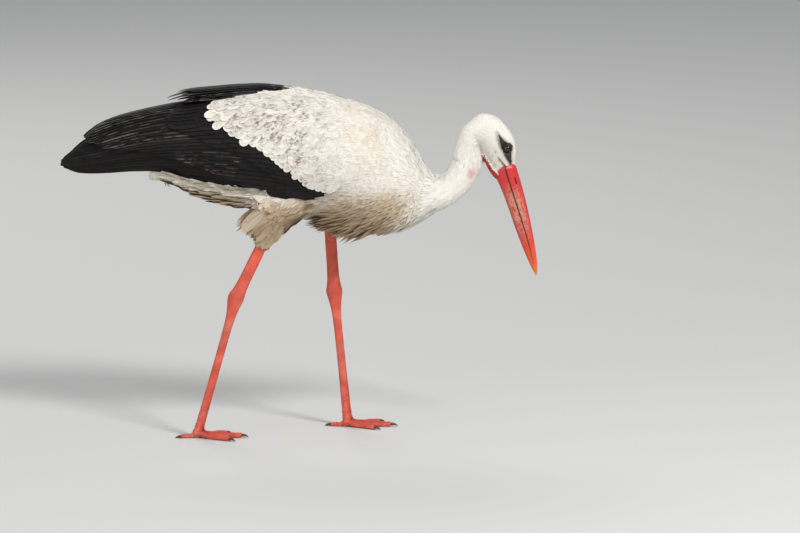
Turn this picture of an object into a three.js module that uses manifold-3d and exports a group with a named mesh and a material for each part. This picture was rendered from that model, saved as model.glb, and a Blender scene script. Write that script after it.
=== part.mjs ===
// White stork, Ciconia ciconia, as a still life-size model: the bird stands in mid stride on both feet
// with its neck lowered and its bill pointing at the ground. Every named part of the body is one solid.
// Millimetres. +X is forward, +Y is the bird's left, +Z is up, and the floor is Z = 0.
import * as THREE from "three";
import { mergeVertices } from "three/addons/utils/BufferGeometryUtils.js";
import Module from "manifold-3d";

const wasm = await Module();
wasm.setup();

// ---------------------------------------------------------------- driving dimensions

const GAP = 0.35; // left between neighbours, so that no two solids overlap
const RIGHT = -1;
const LEFT = 1;
const SIDES = { right: RIGHT, left: LEFT };

const BILL_LENGTH = 164.5; // mouth line, from the face to the tip
const BILL_BASE = [273.6, 406]; // middle of the bill where it leaves the face: x, z
const BILL_TIP = [319.8, 248.1];
const EYE = { at: [273.5, 449], out: 9.2, radius: 8 };

const SHANK_DEPTH = 9.2; // half depth of the bare tibia, fore and aft
const SHANK_WIDTH = 7.2;
const TARSUS_DEPTH = 6.6;
const TARSUS_WIDTH = 5.4;
const ANKLE_DEPTH = 12;
const ANKLE_WIDTH = 9.6;
const SOLE_HEIGHT = 9.5; // middle of a toe's root above the floor
const TOE_RADIUS = 5.2;

// Each leg hangs from its knee, hidden in the flank feathers, and swings about the hip as the bird walks.
const LEGS = {
  right: { knee: [-54, 50, 408], ankle: [-145, 49, 221], foot: [-204, 45, SOLE_HEIGHT], bareFrom: 0.56 },
  left: { knee: [-8, 50, 425], ankle: [6, 46, 215], foot: [27, 45, SOLE_HEIGHT], bareFrom: 0.47 },
};

// Toes: angle from straight ahead towards the outside, length to the root of the claw.
const TOES = {
  inner: { turn: -31, length: 50, radius: 0.92 },
  middle: { turn: 0, length: 68, radius: 1 },
  outer: { turn: 30, length: 57, radius: 0.95 },
  hind: { turn: 172, length: 27, radius: 0.78 },
};
const CLAW_LENGTH = 9.5;
const PAD_SINK = 0.7; // how far the pads of the toes are pressed flat by the floor

// Stations along the body. Each is [x, value], rearmost first.
const axisHeight = profile([
  [-421, 423.5], [-300, 449], [-200, 456.9], [-60, 452.9], [20, 440.7], [90, 420.4], [168, 375.7],
]);
const ridgeHeight = profile([
  [-426, 437], [-386, 468], [-346, 491.5], [-268, 512.5], [-186, 527], [-107, 540], [-40, 536],
  [40, 514.5], [88, 495], [120, 464], [140, 429.5], [168, 376.7],
]);
const bellyHeight = profile([
  [-421, 392], [-345, 398], [-300, 401.5], [-255, 397.5], [-215, 374.7], [-160, 357.4], [-60, 347.3],
  [30, 334.1], [108, 323.9], [140, 336.1], [168, 373.7],
]);
const halfWidth = profile([
  [-426, 19], [-385, 32], [-300, 49], [-200, 64], [-100, 79], [0, 89],
  [55, 85], [90, 74], [115, 60], [142, 43], [168, 2],
]);
const ROUNDNESS = 2.15; // exponent of the body's oval sections

// Feather tracts of the folded wing. Angles are degrees from the ridge of the back down the side, and
// levels are distances out from the body's own surface.
const MANTLE = { from: 0.5, to: 19.4, top: 9 };
const TERTIALS = { from: 0.5, to: 19.4, end: -252 };
const tertialTop = profile([[-256, 14], [-222, 18.5], [-170, 15], [-117, 9], [-78, 8]]);
const COVERTS = { from: 20, to: 121.4, top: 8 };
const SECONDARIES = { from: 0.5, to: 134, top: 0, low: -5.5 };
const PRIMARIES = { from: 32, to: 142, top: -10, low: -15.5 };
const WING_FLOOR = -18.5; // the trunk's surface under the flight feathers

const wingFront = profile([
  [0, 84], [33, 92], [70, 95], [80, 91], [95, 62], [108, 31], [121, 5], [131, -20], [142, -55],
]);
const covertEnd = profile([
  [20, -180], [53, -187], [69, -160], [81, -132], [98, -85], [116, -46], [121.4, -32],
]);
const mantleEnd = profile([[0, -92], [20, -122]]);
const flightFront = profile([
  [0, -128], [60, -128], [81, -106], [98, -60], [116, -14], [122, -6], [130, -24], [142, -62],
]);
const secondaryEnd = profile([[0, -346], [30, -380], [60, -362], [90, -290], [112, -212], [134, -128]]);
const primaryEnd = profile([[32, -392], [75, -417], [110, -415], [130, -408], [142, -394]]);

const colours = {
  white: 0xe9e3d8, black: 0x17151a, red: 0xc8321f, horn: 0xd2553a, claw: 0x3a2a28, eye: 0x120c0a,
};

// ---------------------------------------------------------------- tools

// A smooth curve through [x, value] stations, flat beyond both ends.
function profile(stations) {
  const slope = stations.map((station, i) => {
    const before = stations[Math.max(i - 1, 0)];
    const after = stations[Math.min(i + 1, stations.length - 1)];
    return (after[1] - before[1]) / (after[0] - before[0]);
  });
  return (x) => {
    if (x <= stations[0][0]) return stations[0][1];
    const i = stations.findIndex((station) => station[0] > x);
    if (i < 0) return stations[stations.length - 1][1];
    const [[x0, y0], [x1, y1]] = [stations[i - 1], stations[i]];
    const span = x1 - x0;
    const t = (x - x0) / span;
    const ease = t * t * (3 - 2 * t);
    const bow = t * (1 - t) * span * (slope[i - 1] * (1 - t) - slope[i] * t);
    return y0 + (y1 - y0) * ease + bow;
  };
}

// 0 at the start, 1 at the end and smooth between them, whichever of the two is larger.
const smooth = (x, start, end) => THREE.MathUtils.smoothstep((x - start) / (end - start), 0, 1);
const mix = THREE.MathUtils.lerp;
const inPlane = ([x, z], y = 0) => new THREE.Vector3(x, y, z);

// A three.js geometry as a solid, turned right side out.
function solid(geometry) {
  geometry.deleteAttribute("normal");
  geometry.deleteAttribute("uv");
  const merged = mergeVertices(geometry, 1e-4);
  const triVerts = new Uint32Array(merged.index.array);
  const vertProperties = merged.attributes.position.array;
  const build = () => new wasm.Manifold(new wasm.Mesh({ numProp: 3, vertProperties, triVerts }));
  const made = build();
  if (made.volume() > 0) return made;
  for (let i = 0; i < triVerts.length; i += 3) {
    [triVerts[i], triVerts[i + 1]] = [triVerts[i + 1], triVerts[i]];
  }
  return build();
}

// A globe pulled into shape: place(row, turn) gives each vertex. The first and last rows are single points.
function shaped(around, rows, place) {
  const globe = new THREE.SphereGeometry(1, around, rows);
  const position = globe.getAttribute("position");
  for (let row = 0; row <= rows; row++) {
    for (let i = 0; i <= around; i++) {
      const p = place(row, ((i % around) / around) * 2 * Math.PI);
      position.setXYZ(row * (around + 1) + i, p.x, p.y, p.z);
    }
  }
  return solid(globe);
}

// A body through oval rings { at, up, side }, with flat ends.
function loft(around, rings) {
  return shaped(around, rings.length + 1, (row, turn) => {
    const ring = rings[THREE.MathUtils.clamp(row - 1, 0, rings.length - 1)];
    const open = row === 0 || row === rings.length + 1 ? 0 : 1;
    return ring.at
      .clone()
      .addScaledVector(ring.up, open * Math.cos(turn))
      .addScaledVector(ring.side, open * Math.sin(turn));
  });
}

// A limb along a smooth line: deep is its half depth in the line's own plane, wide its half width across it.
function limb(around, steps, path, deep, wide, grow = 0) {
  const line = new THREE.CatmullRomCurve3(path, false, "centripetal");
  const rings = [];
  for (let i = 0; i <= steps; i++) {
    const t = i / steps;
    const along = line.getTangent(t);
    const up = new THREE.Vector3().crossVectors(new THREE.Vector3(0, 1, 0), along).normalize();
    const side = new THREE.Vector3().crossVectors(along, up);
    rings.push({
      at: line.getPoint(t),
      up: up.multiplyScalar(deep(t) + grow),
      side: side.multiplyScalar(wide(t) + grow),
    });
  }
  return loft(around, rings);
}

// A body in the bird's plane through stations { top, low, wide }, filled in by smooth curves between them.
function stationed(around, steps, stations, from = 0, to = 1, grow = 0) {
  const line = (points) => new THREE.CatmullRomCurve3(points, false, "centripetal");
  const edge = (key) => line(stations.map((s) => inPlane(s[key])));
  const top = edge("top");
  const low = edge("low");
  const wide = profile(stations.map((s, i) => [i / (stations.length - 1), s.wide]));
  const rings = [];
  for (let i = 0; i <= steps; i++) {
    const t = from + ((to - from) * i) / steps;
    const [a, b] = [top.getPoint(t), low.getPoint(t)];
    const up = a.clone().sub(b).multiplyScalar(0.5);
    const at = a.add(b).multiplyScalar(0.5);
    up.setLength(up.length() + grow);
    rings.push({ at, up, side: new THREE.Vector3(0, wide(t) + grow, 0) });
  }
  return loft(around, rings);
}

// Distance from the body's axis to its plumage at an angle in radians, 0 at the ridge and pi at the belly.
function reach(x, angle) {
  const tall = Math.cos(angle) > 0 ? ridgeHeight(x) - axisHeight(x) : axisHeight(x) - bellyHeight(x);
  const up = Math.abs(Math.cos(angle)) / tall;
  const out = Math.abs(Math.sin(angle)) / halfWidth(x);
  return (up ** ROUNDNESS + out ** ROUNDNESS) ** (-1 / ROUNDNESS);
}

function onBody(x, angle, side, raise) {
  const radius = Math.max(reach(x, angle) + raise, 0.5);
  return new THREE.Vector3(x, side * Math.sin(angle) * radius, axisHeight(x) + Math.cos(angle) * radius);
}

// A feather tract: a curved plate over the body between two angles, from front(degrees) to rear(degrees),
// and between the levels low(x, degrees) and top(x, degrees).
function tract(side, { from, to, across, along, front, rear, low, top }) {
  const slab = new THREE.BoxGeometry(1, 1, 1, along, 1, across);
  const position = slab.getAttribute("position");
  for (let i = 0; i < position.count; i++) {
    const degrees = mix(from, to, position.getZ(i) + 0.5);
    const x = mix(front(degrees), rear(degrees), 0.5 - position.getX(i));
    const level = position.getY(i) > 0 ? top(x, degrees) : low(x, degrees);
    const p = onBody(x, THREE.MathUtils.degToRad(degrees), side, level);
    position.setXYZ(i, p.x, p.y, p.z);
  }
  return solid(slab);
}

// Rounded feather tips along a tract's rear edge: 0 between two feathers and 1 at the middle of each.
const tips = (degrees, size, count) =>
  Math.sqrt(Math.abs(Math.sin((Math.PI * count * (degrees - size.from)) / (size.to - size.from))));

function largest(made) {
  return made.decompose().reduce((best, body) => (body.volume() > best.volume() ? body : best));
}

const finish = (color, roughness = 0.8) =>
  new THREE.MeshStandardMaterial({ color, roughness, metalness: 0 });

function named(name, made, colour, roughness) {
  const { vertProperties, triVerts } = largest(made).getMesh();
  const geometry = new THREE.BufferGeometry();
  geometry.setAttribute("position", new THREE.BufferAttribute(vertProperties, 3));
  geometry.setIndex(new THREE.BufferAttribute(new Uint32Array(triVerts), 1));
  geometry.computeVertexNormals();
  const mesh = new THREE.Mesh(geometry, finish(colour, roughness));
  mesh.name = name;
  return mesh;
}

// ---------------------------------------------------------------- head, bill and neck

const HEAD = [
  { top: [221, 496.5], low: [219, 469], wide: 14 },
  { top: [232, 504.1], low: [223, 458], wide: 19 },
  { top: [256, 500.1], low: [230, 447.4], wide: 22 },
  { top: [273, 485.9], low: [235, 436], wide: 22 },
  { top: [284, 468.1], low: [239.5, 424.5], wide: 19.5 },
  { top: [289.3, 447.3], low: [245.5, 412.6], wide: 15.5 },
  { top: [288.3, 428], low: [253.5, 401.5], wide: 12 },
];

const NECK = [
  { top: [118, 436.6], low: [96, 327], wide: 56 },
  { top: [151, 415.3], low: [130, 331], wide: 44 },
  { top: [165, 407.7], low: [162, 343.2], wide: 36 },
  { top: [178, 411.7], low: [193, 357.9], wide: 29 },
  { top: [184, 423.4], low: [216.5, 383.8], wide: 24.5 },
  { top: [188, 441.2], low: [231, 410.2], wide: 23 },
  { top: [193.5, 462], low: [234.5, 436.1], wide: 20.5 },
  { top: [203.5, 480.3], low: [234, 450.8], wide: 20.5 },
  { top: [220, 496.5], low: [234, 463], wide: 19 },
];
const NECK_PARTS = { neck_lower: [0, 0.36], neck_middle: [0.362, 0.62], neck_upper: [0.622, 1] };

const billAlong = inPlane(BILL_TIP).sub(inPlane(BILL_BASE)).normalize();
const billUp = new THREE.Vector3().crossVectors(billAlong, new THREE.Vector3(0, 1, 0)).negate();
const culmen = profile([
  [-16, 17.5], [20, 18.4], [62, 17], [113, 12], [144, 7], [156, 4], [BILL_LENGTH, 0.9],
]);
const gonys = profile([
  [-30, 23], [-8, 19], [20, 14.6], [50, 12.4], [82, 11],
  [110, 8.9], [136, 6.2], [155, 3.1], [BILL_LENGTH, 0.9],
]);
const mouthLine = profile([[-16, 0.4], [22, 0.8], [85, 2.4], [122, 2.1], [BILL_LENGTH, 0]]);
const billWidth = profile([[-30, 12.5], [0, 11.2], [50, 8.6], [110, 5.6], [150, 2.7], [BILL_LENGTH, 0.8]]);

// One mandible: a half oval whose flat side lies on the mouth line. up is 1 for the upper, -1 for the lower.
function mandible(up, depth, start) {
  const rows = 11;
  return shaped(12, rows, (row, turn) => {
    const t = mix(start, BILL_LENGTH, THREE.MathUtils.clamp((row - 1) / (rows - 2), 0, 1));
    const open = row === 0 || row === rows ? 0 : 1;
    const height = Math.max(depth(t) - up * mouthLine(t), 0.6);
    const rise = open ? Math.max(Math.cos(turn), 0) : 0.3;
    return inPlane(BILL_BASE)
      .addScaledVector(billAlong, t)
      .addScaledVector(billUp, mouthLine(t) + up * (GAP * 0.5 + rise * height))
      .add(new THREE.Vector3(0, open * Math.sin(turn) * billWidth(t), 0));
  });
}

function neckForm(name, grow = 0) {
  const [from, to] = NECK_PARTS[name];
  return stationed(16, Math.round((to - from) * 17), NECK, from, to, grow);
}

function headParts() {
  const group = new THREE.Group();
  const head = stationed(16, 9, HEAD);
  const headRoom = stationed(16, 9, HEAD, 0, 1, GAP);
  let face = head;
  for (const [name, side] of Object.entries(SIDES)) {
    const eyeball = new THREE.SphereGeometry(EYE.radius, 12, 7);
    const socket = new THREE.SphereGeometry(EYE.radius + GAP, 12, 7);
    for (const ball of [eyeball, socket]) ball.translate(EYE.at[0], side * EYE.out, EYE.at[1]);
    group.add(named(`eye_${name}`, solid(eyeball), colours.eye, 0.1));
    face = face.subtract(solid(socket));
  }
  group.add(named("head", face, colours.white));
  group.add(named("upper_bill", mandible(1, culmen, -12).subtract(headRoom), colours.red, 0.45));
  group.add(named("lower_bill", mandible(-1, gonys, -20).subtract(headRoom), colours.red, 0.45));
  group.add(named("neck_lower", neckForm("neck_lower"), colours.white));
  group.add(named("neck_middle", neckForm("neck_middle"), colours.white));
  group.add(named("neck_upper", neckForm("neck_upper").subtract(headRoom), colours.white));
  return group;
}

// ---------------------------------------------------------------- trunk and folded wings

const TRUNK_REAR = -262;
const TRUNK_FRONT = 168;
const TRUNK_CUT = -150;

// The trunk's plumage swells to the level of the coverts in front of the wing.
function trunkForm(grow = 0) {
  const rows = 15;
  return shaped(18, rows, (row, turn) => {
    const x = mix(TRUNK_REAR, TRUNK_FRONT, (1 - Math.cos((Math.PI * row) / rows)) / 2);
    const side = turn > Math.PI ? RIGHT : LEFT;
    const angle = turn > Math.PI ? 2 * Math.PI - turn : turn;
    if (row === 0 || row === rows) return inPlane([x, axisHeight(x)]);
    return onBody(x, angle, side, COVERTS.top * smooth(x, -20, 90) + grow);
  });
}

// The layers of one wing, outermost first.
const LAYERS = {
  mantle: {
    ...MANTLE, across: 6, along: 4, colour: colours.white,
    front: wingFront,
    rear: (d) => mantleEnd(d) - 5 * tips(d, MANTLE, 2),
    low: () => 2,
    top: () => MANTLE.top,
  },
  coverts: {
    ...COVERTS, across: 21, along: 5, colour: colours.white,
    front: wingFront,
    rear: (d) => covertEnd(d) - 7 * tips(d, COVERTS, 7),
    low: () => 2.5,
    top: (x) => mix(3, COVERTS.top, smooth(x, -200, -110)),
  },
  tertials: {
    ...TERTIALS, across: 9, along: 3, colour: colours.black,
    front: (d) => mantleEnd(d) - 7,
    rear: (d) => TERTIALS.end + 24 - 24 * tips(d, TERTIALS, 3),
    low: () => 1,
    top: (x, d) => mix(6, tertialTop(x), smooth(d, 20, 6)),
  },
  secondaries: {
    ...SECONDARIES, across: 18, along: 4, colour: colours.black,
    front: flightFront,
    rear: (d) => secondaryEnd(d) - 9 * tips(d, SECONDARIES, 6),
    low: () => SECONDARIES.low,
    top: () => SECONDARIES.top,
  },
  primaries: {
    ...PRIMARIES, across: 15, along: 5, colour: colours.black,
    front: flightFront,
    rear: (d) => primaryEnd(d) + 12 - 14 * tips(d, PRIMARIES, 5),
    low: () => PRIMARIES.low,
    top: () => PRIMARIES.top,
  },
};

// The room that one folded wing takes out of the trunk and the thigh.
function wingRoom(side) {
  return tract(side, {
    from: -0.4, to: PRIMARIES.to + 0.5, across: 15, along: 7,
    front: (d) => wingFront(d) + 6 * GAP,
    rear: () => TRUNK_REAR - 40,
    low: (x, d) => WING_FLOOR * smooth(x, flightFront(d) + 75, flightFront(d) + 30),
    top: () => 60,
  });
}

// ---------------------------------------------------------------- tail and hanging plumes

const TAIL = { rootX: -150, tipX: -346, rootZ: 409, tipZ: 430, rootWide: 15, tipWide: 19, thick: 5, tips: 6 };

function tail() {
  const fan = new THREE.BoxGeometry(1, 1, 1, 3, 12, 1);
  const position = fan.getAttribute("position");
  for (let i = 0; i < position.count; i++) {
    const across = position.getY(i) * 2;
    const t = position.getX(i) + 0.5;
    const tipped = 10 * Math.sqrt(Math.abs(Math.sin((Math.PI * TAIL.tips * (across + 1)) / 2)));
    const x = mix(TAIL.rootX, TAIL.tipX + 10 - tipped + 14 * across * across, t);
    const roof = 6 * (1 - across * across) - 6;
    const z = mix(TAIL.rootZ, TAIL.tipZ, t) + roof + position.getZ(i) * TAIL.thick;
    position.setXYZ(i, x, across * mix(TAIL.rootWide, TAIL.tipWide, Math.sqrt(t)), z);
  }
  return solid(fan);
}

// A hanging lock of feathers: a flat leaf from root to tip, given as [x, y, z].
function lock(root, tip, deep, wide) {
  const [from, to] = [new THREE.Vector3(...root), new THREE.Vector3(...tip)];
  const path = [from, from.clone().lerp(to, 0.5).add(new THREE.Vector3(5, 0, -5)), to];
  const leaf = (t) => Math.sin(Math.PI * (0.2 + 0.77 * t)) ** 0.8;
  return limb(6, 3, path, (t) => deep * leaf(t), (t) => wide * leaf(t));
}

// The shaggy breast: locks in rows from the belly forwards to the foot of the neck.
const BREAST_LOCKS = [
  { tip: [25, 303], root: [78, 350], spread: 46, count: 4 },
  { tip: [62, 306], root: [108, 350], spread: 42, count: 4 },
  { tip: [98, 319], root: [140, 358], spread: 32, count: 3 },
  { tip: [130, 332], root: [163, 366], spread: 20, count: 2 },
];

function breastLocks() {
  const locks = [];
  for (const { tip, root, spread, count } of BREAST_LOCKS) {
    for (let i = 0; i < count; i++) {
      const across = (2 * i) / (count - 1) - 1;
      const sag = 24 * across * across;
      const from = [root[0], across * spread * 0.92, root[1] + sag];
      locks.push(lock(from, [tip[0], across * spread, tip[1] + sag], 14, 13));
    }
  }
  return locks;
}

// ---------------------------------------------------------------- legs

function legPoint([x, y, z], side) {
  return new THREE.Vector3(x, side * y, z);
}

function thigh(leg, side) {
  const knee = legPoint(leg.knee, side);
  const ankle = legPoint(leg.ankle, side);
  const end = knee.clone().lerp(ankle, leg.bareFrom);
  const path = [knee, knee.clone().lerp(end, 0.5), end];
  const deep = profile([[0, 60], [0.35, 47], [0.7, 25], [1, 9]]);
  const wide = profile([[0, 30], [0.5, 24], [1, 8.5]]);
  const rear = [knee.x - 46, knee.y - side * 8, knee.z - 34];
  const tip = [end.x - 36, end.y - side * 2, end.z + 18];
  return limb(14, 5, path, deep, wide).add(lock(rear, tip, 24, 11));
}

// Four toes round a knuckle that carries the tarsus. Their undersides are flats on the floor.
function footForm(name, side, foot, ground) {
  const knuckle = new THREE.SphereGeometry(1, 10, 7).scale(8.2, 8.2, 8.6);
  let made = solid(knuckle.translate(foot.x, foot.y, foot.z - 0.6));
  const claws = [];
  for (const [toeName, toe] of Object.entries(TOES)) {
    const turn = THREE.MathUtils.degToRad(toe.turn) * side;
    const ahead = new THREE.Vector3(Math.cos(turn), Math.sin(turn), 0);
    const radius = TOE_RADIUS * toe.radius;
    const at = (distance, z) => foot.clone().setZ(z).addScaledVector(ahead, distance);
    const { length } = toe;
    const pads = (t) => radius * (1 - 0.22 * t) * (1 + 0.07 * Math.cos(6 * Math.PI * t));
    const resting = (t) => at(length * t, 0.9 * pads(t) - PAD_SINK);
    const path = [at(2, foot.z - 1), resting(0.38), resting(0.7), resting(1)];
    made = made.add(limb(7, 5, path, pads, pads));
    const tip = length + CLAW_LENGTH;
    const clawPath = [at(length + GAP, radius - 1.5), at(mix(length, tip, 0.6), radius - 2), at(tip, 1.2)];
    const claw = limb(6, 2, clawPath, (t) => 2.9 * (1 - 0.7 * t), (t) => 3.4 * (1 - 0.72 * t));
    claws.push(named(`claw_${toeName}_${name}`, claw.subtract(ground), colours.claw, 0.4));
  }
  return { sole: made.subtract(ground), claws };
}

function legParts(name, side, taken) {
  const group = new THREE.Group();
  const leg = LEGS[name];
  const [knee, ankle, foot] = [leg.knee, leg.ankle, leg.foot].map((point) => legPoint(point, side));
  const bare = knee.clone().lerp(ankle, leg.bareFrom);
  const onward = (a, b, distance) => a.clone().add(b.clone().sub(a).setLength(distance));
  const joint = ANKLE_DEPTH + 2;
  const flare = profile([[0, 1], [0.75, 1], [1, 1.18]]);
  const bulge = profile([[0, 0.82], [0.5, 1], [1, 0.72]]);
  const taper = profile([[0, 1.25], [0.2, 1], [0.85, 0.95], [1, 1.05]]);
  const shank = [onward(bare, ankle, GAP), onward(ankle, bare, joint)];
  const middle = [onward(ankle, bare, joint - GAP), ankle, onward(ankle, foot, joint - GAP)];
  const tarsus = [onward(ankle, foot, joint), onward(foot, ankle, 5)];
  const ground = solid(new THREE.BoxGeometry(400, 400, 40).translate(foot.x, foot.y, -20));
  const room = new THREE.SphereGeometry(1, 10, 7).scale(8.6, 8.6, 9).translate(foot.x, foot.y, foot.z - 0.6);
  const { sole, claws } = footForm(name, side, foot, ground);
  const shankForm = limb(10, 3, shank, (t) => SHANK_DEPTH * flare(t), (t) => SHANK_WIDTH * flare(t));
  const ankleForm = limb(10, 5, middle, (t) => ANKLE_DEPTH * bulge(t), (t) => ANKLE_WIDTH * bulge(t));
  const tarsusLimb = limb(10, 5, tarsus, (t) => TARSUS_DEPTH * taper(t), () => TARSUS_WIDTH);
  const tarsusForm = tarsusLimb.subtract(solid(room));
  group.add(named(`thigh_${name}`, thigh(leg, side).subtract(taken), colours.white));
  group.add(named(`shank_${name}`, shankForm, colours.red, 0.5));
  group.add(named(`ankle_${name}`, ankleForm, colours.red, 0.5));
  group.add(named(`tarsus_${name}`, tarsusForm, colours.red, 0.5));
  group.add(named(`foot_${name}`, sole, colours.red, 0.5));
  group.add(...claws);
  return group;
}

// ---------------------------------------------------------------- the whole bird

function bird() {
  const group = new THREE.Group();
  group.add(headParts());
  let wings = null;
  for (const [name, side] of Object.entries(SIDES)) {
    for (const [layerName, layer] of Object.entries(LAYERS)) {
      group.add(named(`${layerName}_${name}`, tract(side, layer), layer.colour));
    }
    const room = wingRoom(side);
    wings = wings ? wings.add(room) : room;
  }
  let body = trunkForm();
  let bodyRoom = trunkForm(GAP);
  for (const made of breastLocks()) body = body.add(made);
  const neckRoom = neckForm("neck_lower", GAP);
  body = body.subtract(wings).subtract(neckRoom);
  const slot = solid(new THREE.BoxGeometry(GAP, 300, 300).translate(TRUNK_CUT, 0, 440));
  const pieces = body.subtract(slot).decompose().sort((a, b) => b.volume() - a.volume());
  group.add(named("trunk", pieces[0], colours.white));
  group.add(named("rump", pieces[1], colours.white));
  group.add(named("tail", tail().subtract(bodyRoom), colours.white));
  for (const [name, side] of Object.entries(SIDES)) group.add(legParts(name, side, bodyRoom.add(wings)));
  return group;
}

const stork = bird();
const box = new THREE.Box3().setFromObject(stork);
stork.position.set(-(box.min.x + box.max.x) / 2, -(box.min.y + box.max.y) / 2, -box.min.z);

export default stork;
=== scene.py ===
"""A white stork in mid stride, life size, with its neck lowered and its bill pointing to the ground."""

import math

import bmesh
import bpy
import numpy as np
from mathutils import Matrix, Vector


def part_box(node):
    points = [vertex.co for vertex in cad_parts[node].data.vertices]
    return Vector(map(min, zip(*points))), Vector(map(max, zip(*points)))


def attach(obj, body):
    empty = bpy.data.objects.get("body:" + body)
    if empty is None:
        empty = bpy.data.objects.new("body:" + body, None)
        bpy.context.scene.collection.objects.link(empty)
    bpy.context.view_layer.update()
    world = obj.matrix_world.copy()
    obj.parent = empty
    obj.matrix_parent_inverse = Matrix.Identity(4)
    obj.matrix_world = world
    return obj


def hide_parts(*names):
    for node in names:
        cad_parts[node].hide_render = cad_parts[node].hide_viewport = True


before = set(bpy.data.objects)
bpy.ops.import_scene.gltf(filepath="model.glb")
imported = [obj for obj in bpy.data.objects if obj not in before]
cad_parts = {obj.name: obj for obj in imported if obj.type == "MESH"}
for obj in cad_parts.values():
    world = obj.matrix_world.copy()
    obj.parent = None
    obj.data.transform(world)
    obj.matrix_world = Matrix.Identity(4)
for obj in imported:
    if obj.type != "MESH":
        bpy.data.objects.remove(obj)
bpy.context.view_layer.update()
COLLECTION = bpy.context.scene.collection


# ------------------------------------------------------------------ sizes of the bird, in millimetres
# x runs forwards along the body, y to the bird's left and z up from the floor.

SIDES = {"right": -1, "left": 1}
EYE_AT = (273.5, 449.0)
EYE_OUT = 9.2
EYE_RADIUS = 8.0
eye_low, eye_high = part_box("eye_right")
SHIFT = (eye_low.x + eye_high.x) * 500 - EYE_AT[0]

BILL_LENGTH = 164.5
BILL_BASE = (273.6, 406.0)
BILL_TIP = (319.8, 248.1)
SHANK_DEPTH, SHANK_WIDTH = 9.2, 7.2
ANKLE_DEPTH, ANKLE_WIDTH = 12.0, 9.6
TARSUS_DEPTH, TARSUS_WIDTH = 6.6, 5.4
TOE_RADIUS = 5.2
LEGS = {
    "right": {"knee": (-54, 50, 408), "ankle": (-145, 49, 221), "foot": (-204, 45, 9.5), "bare": 0.56},
    "left": {"knee": (-8, 50, 425), "ankle": (6, 46, 215), "foot": (27, 45, 9.5), "bare": 0.47},
}
TOES = {  # turn in degrees from straight ahead, length, share of the full toe's radius
    "inner": (-31, 50, 0.92),
    "middle": (0, 68, 1.0),
    "outer": (30, 57, 0.95),
    "hind": (172, 27, 0.78),
}
HEAD = [  # top and low points in the bird's own plane, and half width
    ((221, 496.5), (219, 469), 14),
    ((232, 504.1), (223, 458), 19),
    ((256, 500.1), (230, 447.4), 22),
    ((273, 485.9), (235, 436), 22),
    ((284, 468.1), (239.5, 424.5), 19.5),
    ((289.3, 447.3), (245.5, 412.6), 15.5),
    ((288.5, 428), (253.0, 401.8), 11.2),
    ((288.4, 418.5), (258.2, 397.9), 9.8),
    ((286, 409), (265, 392), 7.5),
]
NECK = [
    ((118, 436.6), (96, 327), 56),
    ((151, 415.3), (130, 331), 44),
    ((165, 407.7), (162, 343.2), 36),
    ((178, 411.7), (193, 357.9), 29),
    ((184, 423.4), (218.5, 382.4), 24.5),
    ((188, 441.2), (233.8, 409.2), 23),
    ((193.5, 462), (236.6, 435.6), 20.5),
    ((203.5, 480.3), (234, 450.8), 20.5),
    ((220, 496.5), (234, 463), 19),
]


# ------------------------------------------------------------------ curves and bodies


def profile(*stations):
    """A smooth curve through (x, value) stations, flat beyond both ends."""
    xs, values = np.array(stations, float).T
    last = len(xs) - 1
    before, after = np.maximum(np.arange(last + 1) - 1, 0), np.minimum(np.arange(last + 1) + 1, last)
    slope = (values[after] - values[before]) / (xs[after] - xs[before])

    def at(x):
        x = np.asarray(x, float)
        i = np.clip(np.searchsorted(xs, x, side="right") - 1, 0, last - 1)
        span = xs[i + 1] - xs[i]
        t = np.clip((x - xs[i]) / span, 0, 1)
        ease = t * t * (3 - 2 * t)
        bow = t * (1 - t) * span * (slope[i] * (1 - t) - slope[i + 1] * t)
        return values[i] + (values[i + 1] - values[i]) * ease + bow

    return at


def smooth(x, start, end):
    """0 at the start, 1 at the end and smooth between them, whichever of the two is larger."""
    t = np.clip((np.asarray(x, float) - start) / (end - start), 0, 1)
    return t * t * (3 - 2 * t)


def bell(x, middle, width):
    """1 at the middle, falling off evenly to 0 on both sides of it."""
    return np.exp(-(((x - middle) / width) ** 2))


def mix(a, b, t):
    return a + (b - a) * t


def unit(v):
    v = np.asarray(v, float)
    return v / np.maximum(np.linalg.norm(v, axis=-1, keepdims=True), 1e-9)


def flowing(points, ts):
    """Points at shares ts along a smooth line through the given points, and its directions there."""
    points = np.asarray(points, float)
    spread = np.linalg.norm(np.diff(points, axis=0), axis=1) ** 0.5
    ends = np.vstack([2 * points[0] - points[1], points, 2 * points[-1] - points[-2]])
    gaps = np.concatenate([[spread[0]], spread, [spread[-1]]])
    ts = np.clip(np.asarray(ts, float), 0, 1) * (len(points) - 1)
    i = np.minimum(ts.astype(int), len(points) - 2)
    w = (ts - i)[:, None]
    p0, p1, p2, p3 = ends[i], ends[i + 1], ends[i + 2], ends[i + 3]
    d0, d1, d2 = gaps[i][:, None], gaps[i + 1][:, None], gaps[i + 2][:, None]
    t1 = ((p1 - p0) / d0 - (p2 - p0) / (d0 + d1) + (p2 - p1) / d1) * d1
    t2 = ((p2 - p1) / d1 - (p3 - p1) / (d1 + d2) + (p3 - p2) / d2) * d1
    c2, c3 = -3 * p1 + 3 * p2 - 2 * t1 - t2, 2 * p1 - 2 * p2 + t1 + t2
    return p1 + t1 * w + c2 * w**2 + c3 * w**3, unit(t1 + 2 * c2 * w + 3 * c3 * w**2)


def turns(count):
    """Angles at even steps round a ring, in radians."""
    return np.linspace(0, 2 * np.pi, count, endpoint=False)


def ovals(at, up, side, turn):
    """A ring of points round each place, by its half axes up and to the side."""
    cos, sin = np.cos(turn)[None, :, None], np.sin(turn)[None, :, None]
    return at[:, None] + cos * up[:, None] + sin * side[:, None]


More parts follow.
